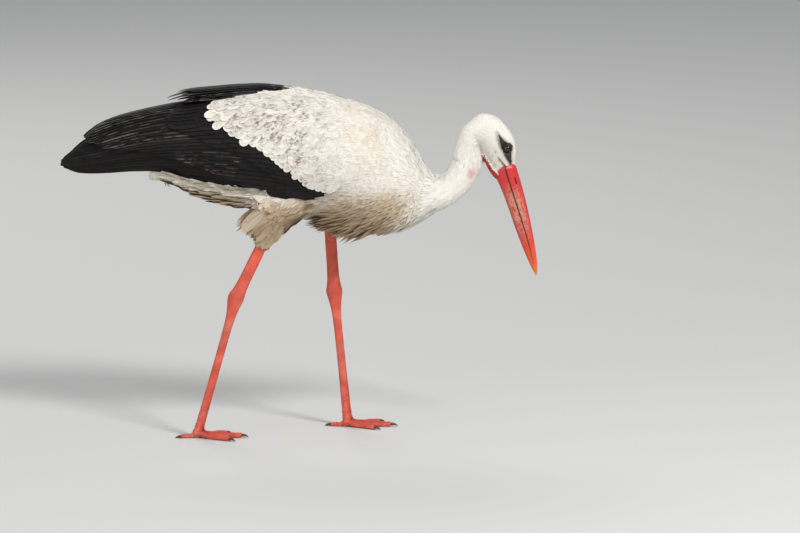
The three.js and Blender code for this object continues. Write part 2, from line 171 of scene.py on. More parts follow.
def limb_rings(path, steps, around, deep, wide):
    """Oval rings along a smooth line: deep and wide are half sizes in the line's plane and across it."""
    ts = np.linspace(0, 1, steps + 1)
    at, along = flowing(path, ts)
    up = unit(np.cross((0, 1, 0), along))
    side = np.cross(along, up)
    return ovals(at, up * np.asarray(deep(ts))[:, None], side * np.asarray(wide(ts))[:, None], turns(around))


def stationed_rings(stations, steps, around, start=0.0, end=1.0, grow=lambda t: 0 * t):
    """Oval rings through stations of a top point, a low point and a half width."""
    ts = np.linspace(start, end, steps + 1)
    flat = lambda p: (p[0], 0.0, p[1])
    top, _ = flowing([flat(s[0]) for s in stations], ts)
    low, _ = flowing([flat(s[1]) for s in stations], ts)
    wide = profile(*[(i / (len(stations) - 1), s[2]) for i, s in enumerate(stations)])(ts) + grow(ts)
    up = (top - low) / 2
    up = unit(up) * (np.linalg.norm(up, axis=1) + grow(ts))[:, None]
    return ovals((top + low) / 2, up, wide[:, None] * (0, 1, 0), turns(around))


def ball_rings(centre, sizes, rows=18, around=28):
    turn = turns(around)
    tilt = np.linspace(0.04, np.pi - 0.04, rows)
    ring = np.stack([np.cos(turn), np.sin(turn), 0 * turn], 1)
    rings = [ring * [math.sin(a), math.sin(a), 0] + [0, 0, math.cos(a)] for a in tilt]
    return np.array(rings) * sizes + centre


def ring_faces(count, around):
    """Faces from each ring of points to the next one, the last of them from the last ring to the first."""
    a = np.arange(count * around).reshape(count, around)
    b = np.roll(a, -1, 1)
    return np.stack([a, b, np.roll(b, -1, 0), np.roll(a, -1, 0)], -1)


def face_outwards(points, quads, middle):
    """Whether the faces look away from the middle, or from a middle for each of them."""
    a, b, c, d = (points[quads[:, i]] for i in range(4))
    return ((points[quads].mean(1) - middle) * np.cross(c - a, d - b)).sum() >= 0


def closed(rings):
    """Vertices and outward faces of a closed body through rings, with a point at either end."""
    count, around, _ = rings.shape
    points = np.concatenate([rings.reshape(-1, 3), [rings[0].mean(0)], [rings[-1].mean(0)]])
    quads = ring_faces(count, around)
    first, last = count * around, count * around + 1
    faces = [tuple(q) for q in quads[:-1].reshape(-1, 4)]
    faces += [(first, q, p) for p, q, _, _ in quads[0]]
    faces += [(last, p, q) for p, q, _, _ in quads[-1]]
    if not face_outwards(points, quads[:-1].reshape(-1, 4), points.mean(0)):
        faces = [f[::-1] for f in faces]
    return points, faces


def to_model(points):
    return (np.asarray(points, float) + (SHIFT, 0, 0)) / 1000


def from_model(points):
    return np.asarray(points, float) * 1000 - (SHIFT, 0, 0)


def placed(name, data):
    """An object in the scene that shows the given mesh, light or camera."""
    piece = bpy.data.objects.new(name, data)
    COLLECTION.objects.link(piece)
    return piece


def mesh_of(name, points, edges=(), faces=()):
    mesh = bpy.data.meshes.new(name)
    mesh.from_pydata(points, edges, faces)
    mesh.update()
    return mesh


def make_piece(name, points, faces):
    """A smooth mesh object from points in the bird's own millimetres."""
    mesh = mesh_of(name, to_model(points).tolist(), faces=[tuple(map(int, f)) for f in faces])
    mesh.shade_smooth()
    return placed(name, mesh)


def kept_as(piece, slot, *nodes):
    """Sets a finished piece on the body and hides the solids that it takes the place of; its slot is not
    used.
    """
    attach(piece, "root")
    if nodes:
        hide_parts(*nodes)
    return piece


def joined(*bodies):
    points, faces, start = [], [], 0
    for p, f in bodies:
        points.append(p)
        faces += [tuple(i + start for i in face) for face in f]
        start += len(p)
    return np.concatenate(points), faces


def points_of(mesh):
    co = np.empty(len(mesh.vertices) * 3, np.float32)
    mesh.vertices.foreach_get("co", co)
    return from_model(co.reshape(-1, 3))


def normals_of(mesh):
    n = np.empty(len(mesh.vertices) * 3, np.float32)
    mesh.vertex_normals.foreach_get("vector", n)
    return n.reshape(-1, 3).astype(float)


def move_points(mesh, points):
    mesh.vertices.foreach_set("co", to_model(points).astype(np.float32).ravel())
    mesh.update()


def settled(piece):
    """The piece with its modifiers carried out."""
    graph = bpy.context.evaluated_depsgraph_get()
    mesh = bpy.data.meshes.new_from_object(piece.evaluated_get(graph), depsgraph=graph)
    piece.modifiers.clear()
    old = piece.data
    piece.data = mesh
    bpy.data.meshes.remove(old)
    mesh.name = piece.name
    return piece


def one_surface(name, bodies, voxel, passes):
    """Overlapping bodies grown together into one even surface."""
    piece = make_piece(name, *joined(*bodies))
    remesh = piece.modifiers.new("grow together", "REMESH")
    remesh.mode = "VOXEL"
    remesh.voxel_size = voxel / 1000
    remesh.use_smooth_shade = True
    ease = piece.modifiers.new("ease", "SMOOTH")
    ease.factor = 0.5
    ease.iterations = passes
    return settled(piece)


def merged_with(piece, others, operation="UNION"):
    for other in others:
        cut = piece.modifiers.new(operation.lower(), "BOOLEAN")
        cut.operation = operation
        cut.solver = "MANIFOLD"
        cut.object = other
    settled(piece)
    for other in others:
        bpy.data.objects.remove(other)
    return piece


# ------------------------------------------------------------------ the trunk and the folded wings

axis_height = profile(
    (-421, 423.5), (-300, 449), (-200, 456.9), (-60, 452.9), (20, 440.7), (90, 420.4), (168, 375.7)
)
ridge_height = profile(
    (-426, 437), (-386, 468), (-346, 491.5), (-268, 512.5), (-186, 527), (-107, 540), (-40, 536),
    (40, 514.5), (88, 495), (120, 464), (140, 429.5), (168, 376.7),
)
belly_height = profile(
    (-421, 392), (-345, 398), (-300, 401.5), (-255, 397.5), (-215, 374.7), (-160, 357.4), (-60, 347.3),
    (30, 334.1), (108, 323.9), (140, 336.1), (168, 373.7),
)
half_width = profile(
    (-426, 19), (-385, 32), (-300, 49), (-200, 64), (-100, 79), (0, 89),
    (55, 85), (90, 74), (115, 60), (142, 43), (168, 2),
)
ROUNDNESS = 2.15
TRUNK_REAR, TRUNK_FRONT = -262, 168
WING_FLOOR = -18.5
COVERT_TOP = 8.0
COAT_DEPTH = 4.6
wing_front = profile(
    (0, 84), (33, 92), (70, 95), (80, 91), (95, 62), (108, 31), (121, 5), (131, -20), (142, -55)
)
covert_end = profile(
    (20, -172), (37, -187), (55, -186), (69, -160), (81, -132), (98, -85), (116, -46), (121.4, -32)
)
mantle_end = profile((0, -92), (20, -122))
flight_front = profile(
    (0, -128), (60, -128), (81, -106), (98, -60), (116, -14), (122, -6), (130, -24), (142, -62)
)
secondary_end = profile((0, -346), (30, -380), (60, -362), (90, -290), (112, -212), (134, -128))
primary_end = profile((32, -392), (75, -417), (110, -415), (130, -408), (142, -394))


def reach(x, degrees):
    angle = np.radians(degrees)
    tall = np.where(np.cos(angle) > 0, ridge_height(x) - axis_height(x), axis_height(x) - belly_height(x))
    up = np.abs(np.cos(angle)) / tall
    out = np.abs(np.sin(angle)) / half_width(x)
    return (up**ROUNDNESS + out**ROUNDNESS) ** (-1 / ROUNDNESS)


def on_body(x, degrees, side, level):
    """Points at a level over the body's surface; degrees run from the ridge of the back down that side."""
    x, degrees = np.broadcast_arrays(np.asarray(x, float), np.asarray(degrees, float))
    radius = np.maximum(reach(x, degrees) + level, 0.5)
    angle = np.radians(degrees)
    return np.stack([x, side * np.sin(angle) * radius, axis_height(x) + np.cos(angle) * radius], -1)


def body_place(points):
    """The degrees and the level over the body of points given as x, y, z."""
    x, y, z = points.T
    degrees = np.degrees(np.arctan2(np.abs(y), z - axis_height(x)))
    return degrees, np.hypot(y, z - axis_height(x)) - reach(x, degrees)


def wing_share(x, degrees):
    """1 under the folded wing and 0 outside it."""
    return smooth(degrees, 144, 139) * smooth(x, wing_front(degrees) + 5, wing_front(degrees) - 9)


def white_edge(degrees):
    """How far back the white of the mantle and the coverts goes."""
    return mix(mantle_end(degrees), covert_end(degrees), smooth(degrees, 19, 21))


def skin_level(x, degrees):
    open_body = COVERT_TOP * smooth(x, -20, 90) - COAT_DEPTH
    open_body = open_body + 10 * smooth(degrees, 138, 165) * smooth(x, 2, 34) * smooth(x, 104, 70)
    under_white = smooth(x, white_edge(degrees) + 10, white_edge(degrees) + 44)
    wing = mix(WING_FLOOR, 4.0, under_white)
    return mix(open_body, wing, wing_share(x, degrees))


def trunk_rings(rows=150, around=176):
    xs = mix(TRUNK_REAR, TRUNK_FRONT, (1 - np.cos(np.pi * np.linspace(0.02, 0.985, rows))) / 2)
    turn = np.linspace(0, 360, around, endpoint=False)
    degrees, side = np.where(turn > 180, 360 - turn, turn), np.where(turn > 180, -1, 1)
    xs, degrees = np.meshgrid(xs, degrees, indexing="ij")
    return on_body(xs, degrees, side[None, :], np.maximum(skin_level(xs, degrees), 4 - reach(xs, degrees)))


# ------------------------------------------------------------------ legs


def leg_points(name):
    leg, side = LEGS[name], SIDES[name]
    return [np.array(leg[k], float) * (1, side, 1) for k in ("knee", "ankle", "foot")]


def bare_point(name):
    knee, ankle, _ = leg_points(name)
    return mix(knee, ankle, LEGS[name]["bare"])


def thigh_rings(name):
    """The thigh, which is sunk under the folded wing where the wing lies over it."""
    knee, _, _ = leg_points(name)
    end = bare_point(name)
    deep = profile((0, 55), (0.35, 43), (0.7, 21), (1, 7.4))
    wide = profile((0, 19), (0.35, 22), (0.6, 18), (1, 6.6))
    rings = limb_rings([knee, mix(knee, end, 0.5), end], 40, 40, deep, wide)
    points = rings.reshape(-1, 3)
    degrees, level = body_place(points)
    room = mix(90, WING_FLOOR + 2, wing_share(points[:, 0], degrees))
    sunk = on_body(points[:, 0], degrees, SIDES[name], np.minimum(level, room))
    return np.where((level > room)[:, None], sunk, points).reshape(rings.shape)


def leg_rings(name):
    """The bare shank, the ankle and the tarsus, with a plug that goes up into the thigh."""
    knee, ankle, foot = leg_points(name)
    top = mix(bare_point(name), knee, 0.16)
    lengths = [np.linalg.norm(ankle - top), np.linalg.norm(foot - ankle)]
    total = sum(lengths)
    bend = lengths[0] / total
    ts = np.linspace(0, 1, 170)
    above, below = (0, 0.55, 0.9), (0, 0.1, 0.5, 1)
    path = [mix(top, ankle, t) for t in above] + [mix(ankle, foot, t) for t in below]
    stops = np.array([t * bend for t in above] + [mix(bend, 1, t) for t in below])
    shares = np.interp(ts, stops, np.linspace(0, 1, len(stops)))
    at, _ = flowing(path, shares)
    along = unit(np.gradient(at, axis=0))
    up = unit(np.cross((0, 1, 0), along))
    side = np.cross(along, up)
    r = 14 / total
    deep = profile(
        (0, 6.5), (bend * 0.3, SHANK_DEPTH * 0.96), (bend - 2.4 * r, SHANK_DEPTH),
        (bend - r, SHANK_DEPTH * 1.12), (bend, ANKLE_DEPTH), (bend + 0.8 * r, ANKLE_DEPTH * 0.9),
        (bend + 1.9 * r, TARSUS_DEPTH * 1.25), (bend + 4 * r, TARSUS_DEPTH),
        (0.93, TARSUS_DEPTH * 0.96), (1, TARSUS_DEPTH * 1.08),
    )(ts)
    wide = profile(
        (0, 5.5), (bend * 0.3, SHANK_WIDTH * 0.96), (bend - 2 * r, SHANK_WIDTH), (bend, ANKLE_WIDTH),
        (bend + 0.8 * r, ANKLE_WIDTH * 0.86), (bend + 2 * r, TARSUS_WIDTH * 1.04),
        (0.95, TARSUS_WIDTH), (1, TARSUS_WIDTH * 1.1),
    )(ts)
    turn = turns(44)
    # A groove runs down either flank of the leg, between the bone and the tendon behind it.
    groove = bell(np.abs(np.sin(turn)), 1, 0.1) * 0.12
    tendon = 1 - groove[None, :] * smooth(np.abs(ts - bend), r, 3 * r)[:, None]
    knobs = 1 + 0.06 * bell(ts, bend, 0.7 * r)[:, None] * np.cos(2 * turn)[None, :]
    scale = (tendon * knobs)[..., None]
    return at[:, None] + scale * ovals(0 * at, up * deep[:, None], side * wide[:, None], turn)


def toe_path(name, toe):
    foot, side = leg_points(name)[2], SIDES[name]
    turn, length, share = TOES[toe]
    ahead = np.array([math.cos(math.radians(turn) * side), math.sin(math.radians(turn) * side), 0])
    radius = TOE_RADIUS * share
    pads = lambda t: radius * (1 - 0.22 * t) * (1 + 0.07 * np.cos(6 * np.pi * t))
    resting = lambda t: foot * (1, 1, 0) + ahead * length * t + (0, 0, 0.93 * pads(t) - 0.5)
    return [foot + ahead * 2 - (0, 0, 1), resting(0.38), resting(0.7), resting(0.98)], pads


def foot_bodies(name):
    foot = leg_points(name)[2]
    bodies = [closed(ball_rings(foot - (0, 0, 0.6), np.array([8.2, 8.0, 8.6])))]
    for toe in TOES:
        path, pads = toe_path(name, toe)
        bodies.append(closed(limb_rings(path, 36, 26, pads, pads)))
    return bodies


# ------------------------------------------------------------------ head and neck

# Bands down the side of the head: x, z and half width.
BARE_PATCH = [
    (261.5, 470, 0.8), (266, 460, 3.4), (272.3, 450, 7.4), (275, 440, 5.2), (277.5, 431, 2.6),
    (280, 423, 0.8),
]
GULAR = [(237, 438, 0.8), (239.5, 430, 3), (242.5, 421, 4.2), (248, 410.5, 5), (256.5, 399, 7.5)]
GAPE = [(261, 432.5, 0.3), (266, 425.5, 0.8), (272, 418, 1)]


def band_share(points, band, soft=1.6):
    """1 inside a band of changing half width that runs down the side of the head, and 0 outside it."""
    place = points[:, [0, 2]]
    best = np.full(len(points), -99.0)
    for (x0, z0, r0), (x1, z1, r1) in zip(band[:-1], band[1:]):
        a, d = np.array([x0, z0]), np.array([x1 - x0, z1 - z0])
        t = np.clip(((place - a) @ d) / (d @ d), 0, 1)
        gap = np.linalg.norm(place - a - t[:, None] * d, axis=1)
        best = np.maximum(best, mix(r0, r1, t) - gap)
    return smooth(best, -soft, soft * 0.4)


def eye_frame(side):
    """The middle of an eyeball, and the direction that the eye looks in."""
    return np.array([EYE_AT[0], side * EYE_OUT, EYE_AT[1]]), unit(np.array([0.2, side * 1.0, -0.02]))


def eye_axes(look):
    """The ways up and ahead over the face of an eye that looks that way."""
    upright = unit(np.array([0.3, 0, 1.0]))
    upright = unit(upright - look * (upright @ look))
    return upright, np.cross(upright, look)


def head_form():
    taper = lambda t: -4.6 * smooth(t, 0.66, 0.61)
    neck = closed(stationed_rings(NECK, 70, 64, 0.605, 1, taper))
    head = closed(stationed_rings(HEAD, 80, 72))
    form = one_surface("head form", [neck, head], 1.25, 5)
    points, normals = points_of(form.data), normals_of(form.data)
    bare = np.maximum(band_share(points, BARE_PATCH), band_share(points, GULAR))
    down_neck = smooth(points @ (0.35, 0, 1), 560, 500)
    crown = smooth(points @ (0.25, 0, 1), 528, 552)
    depth = mix(mix(1.5, 3.0, np.maximum(down_neck, crown)), 0.25, bare)
    points = points - normals * depth[:, None]
    for side in SIDES.values():
        centre, look = eye_frame(side)
        away = points - centre
        along = away @ look
        flat = away - along[:, None] * look
        across = flat @ unit(np.array([0.30, 0, 1.0]))
        ahead = flat @ unit(np.array([1.0, 0, -0.30]))
        rho = np.hypot(across / 0.92, ahead)
        near = (along > 0) * (rho < 13)
        dome = np.sqrt(np.maximum((EYE_RADIUS + 0.75) ** 2 - np.minimum(rho, 7.6) ** 2, 0))
        brow = 0.9 * bell(across, 7.2, 2.0) * smooth(np.abs(ahead), 8, 2)
        crease = -0.8 * bell(rho, 8.9, 0.9)
        target = dome + brow + crease
        hold = near * smooth(rho, 11.5, 7.8)
        points = points + look * ((target - along) * hold)[:, None]
    move_points(form.data, points)
    return form


def eye_cutter(side):
    """The ball of the eye and the gap between its lids, which is cut out of the head."""
    centre, look = eye_frame(side)
    ball = closed(ball_rings(centre, np.array([1, 1, 1]) * (EYE_RADIUS + 0.12), 40, 56))
    upright, ahead = eye_axes(look)
    turn = turns(56)
    rings = []
    for out in np.linspace(3.0, 14.0, 12):
        almond = 1 + 0.1 * np.cos(2 * turn)
        wide = 4.7 + 0.08 * (out - 7)
        level = (np.cos(turn) * almond * wide)[:, None] * ahead
        rings.append(centre + look * out + level + (np.sin(turn) * 4.3)[:, None] * upright)
    cone = closed(np.array(rings))
    cutter = make_piece("eye room", *ball)
    return merged_with(cutter, [make_piece("lid gap", *cone)])


def lid_rims():
    """The thickened edge of the lids round each eye."""
    rims = []
    for side in SIDES.values():
        centre, look = eye_frame(side)
        upright, ahead = eye_axes(look)
        turn = turns(72)
        small = turns(10)
        wide, tall = 4.95 * (1 + 0.1 * np.cos(2 * turn)), 4.55
        flat = (np.cos(turn) * wide)[:, None] * ahead + (np.sin(turn) * tall)[:, None] * upright
        rho = np.linalg.norm(flat, axis=1)
        at = centre + flat + look * np.sqrt((EYE_RADIUS + 0.5) ** 2 - rho**2)[:, None]
        out = unit(at - centre)
        along = unit(np.roll(at, -1, 0) - np.roll(at, 1, 0))
        across = np.cross(out, along)
        thick = 0.5 + 0.12 * np.sin(turn)
        rings = at[:, None] + thick[:, None, None] * ovals(0 * at, out, across, small)
        points, quads = rings.reshape(-1, 3), ring_faces(len(turn), len(small)).reshape(-1, 4)
        if not face_outwards(points, quads, np.repeat(at, len(small), 0)):
            quads = quads[:, ::-1]
        rims.append((points, [tuple(q) for q in quads]))
    return [make_piece("lid rim", *rim) for rim in rims]


def whole_skin():
    neck = stationed_rings(NECK, 60, 72, 0, 0.665, lambda t: mix(-COAT_DEPTH, -3.2, smooth(t, 0.1, 0.6)))
    body = one_surface(
        "skin", [closed(trunk_rings()), closed(neck)] + [closed(thigh_rings(name)) for name in SIDES], 3.2, 7
    )
    legs = []
    for name in SIDES:
        leg = one_surface("leg " + name, [closed(leg_rings(name))] + foot_bodies(name), 1.2, 4)
        points = points_of(leg.data)
        points[:, 2] = np.maximum(points[:, 2], 0)
        move_points(leg.data, points)
        legs.append(leg)
    face = merged_with(head_form(), [eye_cutter(side) for side in SIDES.values()], "DIFFERENCE")
    face = merged_with(face, lid_rims())
    return merged_with(body, [face] + legs)


# ------------------------------------------------------------------ bill, eyes and claws

bill_base = np.array([BILL_BASE[0], 0, BILL_BASE[1]])
bill_along = unit(np.array([BILL_TIP[0] - BILL_BASE[0], 0, BILL_TIP[1] - BILL_BASE[1]]))
bill_up = np.array([-bill_along[2], 0, bill_along[0]])
culmen = profile((-16, 17.2), (20, 17.4), (62, 15.8), (113, 11.3), (144, 6.8), (156, 4), (BILL_LENGTH, 0.9))
gonys = profile(
    (-30, 23), (-8, 19), (20, 14.6), (50, 12.4), (82, 11), (110, 8.9), (136, 6.2), (155, 3.1),
    (BILL_LENGTH, 0.9),
)
mouth_line = profile((-16, 0.4), (22, 0.8), (85, 2.4), (122, 2.1), (BILL_LENGTH, 0))
bill_width = profile(
    (-30, 12.5), (-12, 12.1), (0, 11.2), (50, 8.6), (110, 5.6), (150, 2.7), (BILL_LENGTH, 0.8)
)
NOSTRIL = (6.0, 19.0, 0.56)  # from, to, and share of the upper bill's height


def mandible(name, upper, start, node, rows=150, around=72):
    """One half of the bill, with its cutting edge, the groove along its side and, above, the nostril."""
    up = 1 if upper else -1
    t = mix(start, BILL_LENGTH, np.linspace(0, 1, rows) ** 0.94)[:, None]
    turn = turns(around)[None, :]
    height = np.maximum((culmen(t) if upper else gonys(t)) - up * mouth_line(t), 0.6)
    rise = np.maximum(np.cos(turn), 0)
    width = bill_width(t) * np.abs(np.sin(turn)) ** 0.9 * np.sign(np.sin(turn))
    ridge = smooth(np.cos(turn), 0.86, 1.0)
    width = width * (1 - 0.16 * ridge)
    along = smooth(t, 12, 30) * smooth(t, 150, 90)
    furrow = bell(rise, 0.62 if upper else 0.45, 0.09) * along
    edge = bell(rise, 0.07, 0.06) * smooth(t, 155, 120)
    width = width * (1 - 0.055 * furrow + 0.03 * edge)
    if upper:
        first, last, level = NOSTRIL
        slit = smooth(t, first - 1.5, first + 1.5) * smooth(t, last + 2.5, last - 2.5)
        slit = slit * bell(rise - level, 0.002 * (t - first), 0.055)
        width = width * (1 - 0.34 * slit)
    fine = 0.008 * np.sin(t * 0.9 + 3 * np.cos(turn)) * np.sin(t * 0.37 + 1.3)
    # The bill comes out of the feathers of the face along a slanted edge.
    edge = mix(-12, -8, rise) if upper else mix(-12, 2.5, rise)
    width = width * (1 + fine) * mix(0.84, 1, smooth(t - edge, -4, 2))
    height = height * mix(0.92, 1, smooth(t - edge, -5, 2))
    level = mouth_line(t) + up * (0.15 + rise * height)
    points = bill_base + t[..., None] * bill_along + level[..., None] * bill_up + width[..., None] * (0, 1, 0)
    piece = make_piece(name, *closed(points))
    marks = {"along_bill": (t / 100, [start / 100, BILL_LENGTH / 100]), "up_bill": (rise, [0, 0])}
    for key, (values, ends) in marks.items():
        values = np.broadcast_to(values, (rows, around)).ravel()
        store(piece.data, key, np.concatenate([values, ends]))
    return kept_as(piece, node, node)


def eyeball(name, node, side):
    """An eye with its cornea; the attribute tells the angle from the middle of the pupil."""
    centre, look = eye_frame(side)
    around, rows = 64, 56
    upright, ahead = eye_axes(look)
    tilt = np.linspace(0, np.pi, rows + 2)[1:-1]
    turn = turns(around)
    bulge = 0.42 * smooth(np.degrees(tilt), 36, 8)
    radius = EYE_RADIUS - 0.05 + bulge
    ring = np.cos(turn)[None, :, None] * ahead + np.sin(turn)[None, :, None] * upright
    sin, cos, radius = (values[:, None, None] for values in (np.sin(tilt), np.cos(tilt), radius))
    points = centre + radius * (sin * ring + cos * look)
    piece = make_piece(name, *closed(points))
    angle = np.concatenate([np.repeat(np.degrees(tilt), around), [0, 180]]) / 100
    store(piece.data, "from_pupil", angle)
    return kept_as(piece, "eye", node)


def claw_pieces():
    """A curved, tapering claw at the end of each toe, joined into one piece for each foot."""
    pieces = []
    for name in SIDES:
        bodies, nodes = [], []
        foot, side = leg_points(name)[2], SIDES[name]
        for toe, (turn, length, share) in TOES.items():
            turn = math.radians(turn) * side
            ahead = np.array([math.cos(turn), math.sin(turn), 0])
            radius = TOE_RADIUS * share
            at = lambda distance, z: foot * (1, 1, 0) + ahead * distance + (0, 0, z)
            stops = ((-3, radius - 1.3), (3, radius - 1.2), (6.5, radius - 2.1), (9.3, 1.0))
            path = [at(length + beyond, z) for beyond, z in stops]
            deep, wide = lambda t: 2.5 * (1 - 0.8 * t**1.4), lambda t: 2.8 * (1 - 0.8 * t**1.3)
            bodies.append(closed(limb_rings(path, 24, 20, deep, wide)))
            nodes.append(f"claw_{toe}_{name}")
        points, faces = joined(*bodies)
        points[:, 2] = np.maximum(points[:, 2], 0.02)
        piece = make_piece("claws_of_" + name + "_foot", points, faces)
        pieces.append(kept_as(piece, "claw", *nodes))
    return pieces


# ------------------------------------------------------------------ where the coat grows and how it lies

SPINE = np.array([
    (273.6, 406), (262, 446), (250, 465), (238, 476), (227, 480), (219, 465.5), (214, 449), (209.5, 425.7),
    (200, 403.6), (185.5, 384.8), (163.5, 375.4), (140.5, 380), (90, 410), (20, 440), (-60, 453), (-200, 457),
    (-300, 451), (-421, 430),
])
NAPE, NECK_FOOT = 88.0, 250.0  # distances along the spine from the root of the bill


def along_spine(points):
    """How far down the spine from the bill each point is."""
    place, best, found, start = points[:, [0, 2]], np.full(len(points), 1e9), np.zeros(len(points)), 0.0
    for a, b in zip(SPINE[:-1], SPINE[1:]):
        length = np.linalg.norm(b - a)
        t = np.clip(((place - a) @ (b - a)) / length**2, 0, 1)
        gap = np.linalg.norm(place - a - t[:, None] * (b - a), axis=1)
        nearer = gap < best
        best, found = np.where(nearer, gap, best), np.where(nearer, start + t * length, found)
        start += length
    return found


def lie_guides():
    """Places inside the bird, the way that the feathers round each of them lie, and how far it counts."""
    guides = []  # x, y, z, then the way forwards and up, then the weight
    for a, b in zip(SPINE[:-1], SPINE[1:]):
        for t in (0.0, 0.33, 0.67):
            x, z = mix(a, b, t)
            guides.append((x, 0, z, *(b - a), 1.0))
    rows = [(x, belly_height(x) + 14, -1.0, -0.12) for x in range(-250, 20, 30)]
    rows += [(30, 348, -0.8, -0.5), (60, 345, -0.78, -0.58), (95, 345, -0.76, -0.6), (125, 352, -0.78, -0.5)]
    guides += [(x, y, z, ahead, up, 0.9) for x, z, ahead, up in rows for y in (-45, 0, 45)]
    guides += [(x, y, 425, -1.0, -0.28, 1.0) for x in range(-150, 90, 30) for y in (-80, 80)]
    for name in SIDES:
        knee, end = leg_points(name)[0], bare_point(name)
        down = unit(end - knee)
        guides += [(*mix(knee, end, t), down[0] - 0.25, down[2], 1.15) for t in np.linspace(0.25, 1.05, 7)]
    x, y, z, ahead, up, weight = np.array(guides, float).T
    return np.stack([x, y, z], 1), unit(np.stack([ahead, 0 * ahead, up], 1)), weight


def lie_of(points, normals):
    place, way, weight = lie_guides()
    lie = np.zeros_like(points)
    for start in range(0, len(points), 20000):
        part = points[start:start + 20000]
        gap = ((part[:, None] - place[None]) ** 2).sum(2) + 60
        pull = weight / gap**2.2
        lie[start:start + 20000] = (pull[..., None] * way[None]).sum(1)
    lie -= normals * (lie * normals).sum(1, keepdims=True)
    return unit(lie)


def along_shank(points, name):
    """How far down the shank each point is from where it turns bare, and how far off the shank's line."""
    knee, ankle, _ = leg_points(name)
    down = unit(ankle - knee)
    away = points - bare_point(name)
    along = away @ down
    return along, np.linalg.norm(away - along[:, None] * down, axis=1)


def above_bare(points):
    """How far above the bare part of its leg each point round a leg is."""
    height = np.full(len(points), 200.0)
    for name, side in SIDES.items():
        along, off = along_shank(points, name)
        height = np.where(points[:, 1] * side > 0, 200 * smooth(off, 22, 38) - along, height)
    return height


def leg_skin_share(points):
    """1 on the bare legs and feet and 0 on the feathered body."""
    share = np.zeros(len(points))
    for name, side in SIDES.items():
        along, off = along_shank(points, name)
        near = np.maximum(smooth(off, 20, 14), smooth(points[:, 2], 300, 290))
        share = np.where(points[:, 1] * side > 0, smooth(along, -1, 3) * near, share)
    return share


# Colours of plumage, skin and horn, as linear light.
WHITE = np.array([0.84, 0.80, 0.73])
CREAM = np.array([0.74, 0.66, 0.54])
BEIGE = np.array([0.56, 0.44, 0.30])
TAN = np.array([0.33, 0.215, 0.125])
BROWN = np.array([0.105, 0.062, 0.036])
GREYED = np.array([0.36, 0.31, 0.26])
JET = np.array([0.010, 0.009, 0.011])
FACE_BLACK = np.array([0.020, 0.015, 0.014])
LEG_RED = np.array([0.70, 0.105, 0.062])
LEG_PALER = np.array([0.05, 0.07, 0.055])
STAIN_RED = np.array([0.62, 0.16, 0.13])
GULAR_RED = np.array([0.52, 0.030, 0.030])
SMUDGE = (0.235, 0.178, 0.125)
# The pale pink of a painted highlight on the leg scales.
SCALE_HIGHLIGHT = (0.78, 0.36, 0.28)
BILL_ROOT, BILL_PALE = (0.58, 0.030, 0.030), (0.58, 0.27, 0.18)
BILL_FRONT, BILL_TIP_ORANGE = (0.74, 0.075, 0.022), (0.80, 0.18, 0.030)
BILL_FLECK, BILL_SEAM = (0.12, 0.035, 0.02), (0.035, 0.008, 0.006)
NOSTRIL_DARK = (0.02, 0.005, 0.005)


def waves(points, size, seed):
    """Soft random mottling between -1 and 1 with patches of about that size."""
    pick = np.random.default_rng(seed)
    total = np.zeros(len(points))
    for _ in range(9):
        way = unit(pick.normal(size=3)) * 2 * np.pi / (size * pick.uniform(0.8, 2.2))
        total += np.sin(points @ way + pick.uniform(0, 6.28))
    return np.clip(total / 4.2, -1, 1)


def over(colour, paint, share):
    return colour + (paint - colour) * np.clip(share, 0, 1)[:, None]


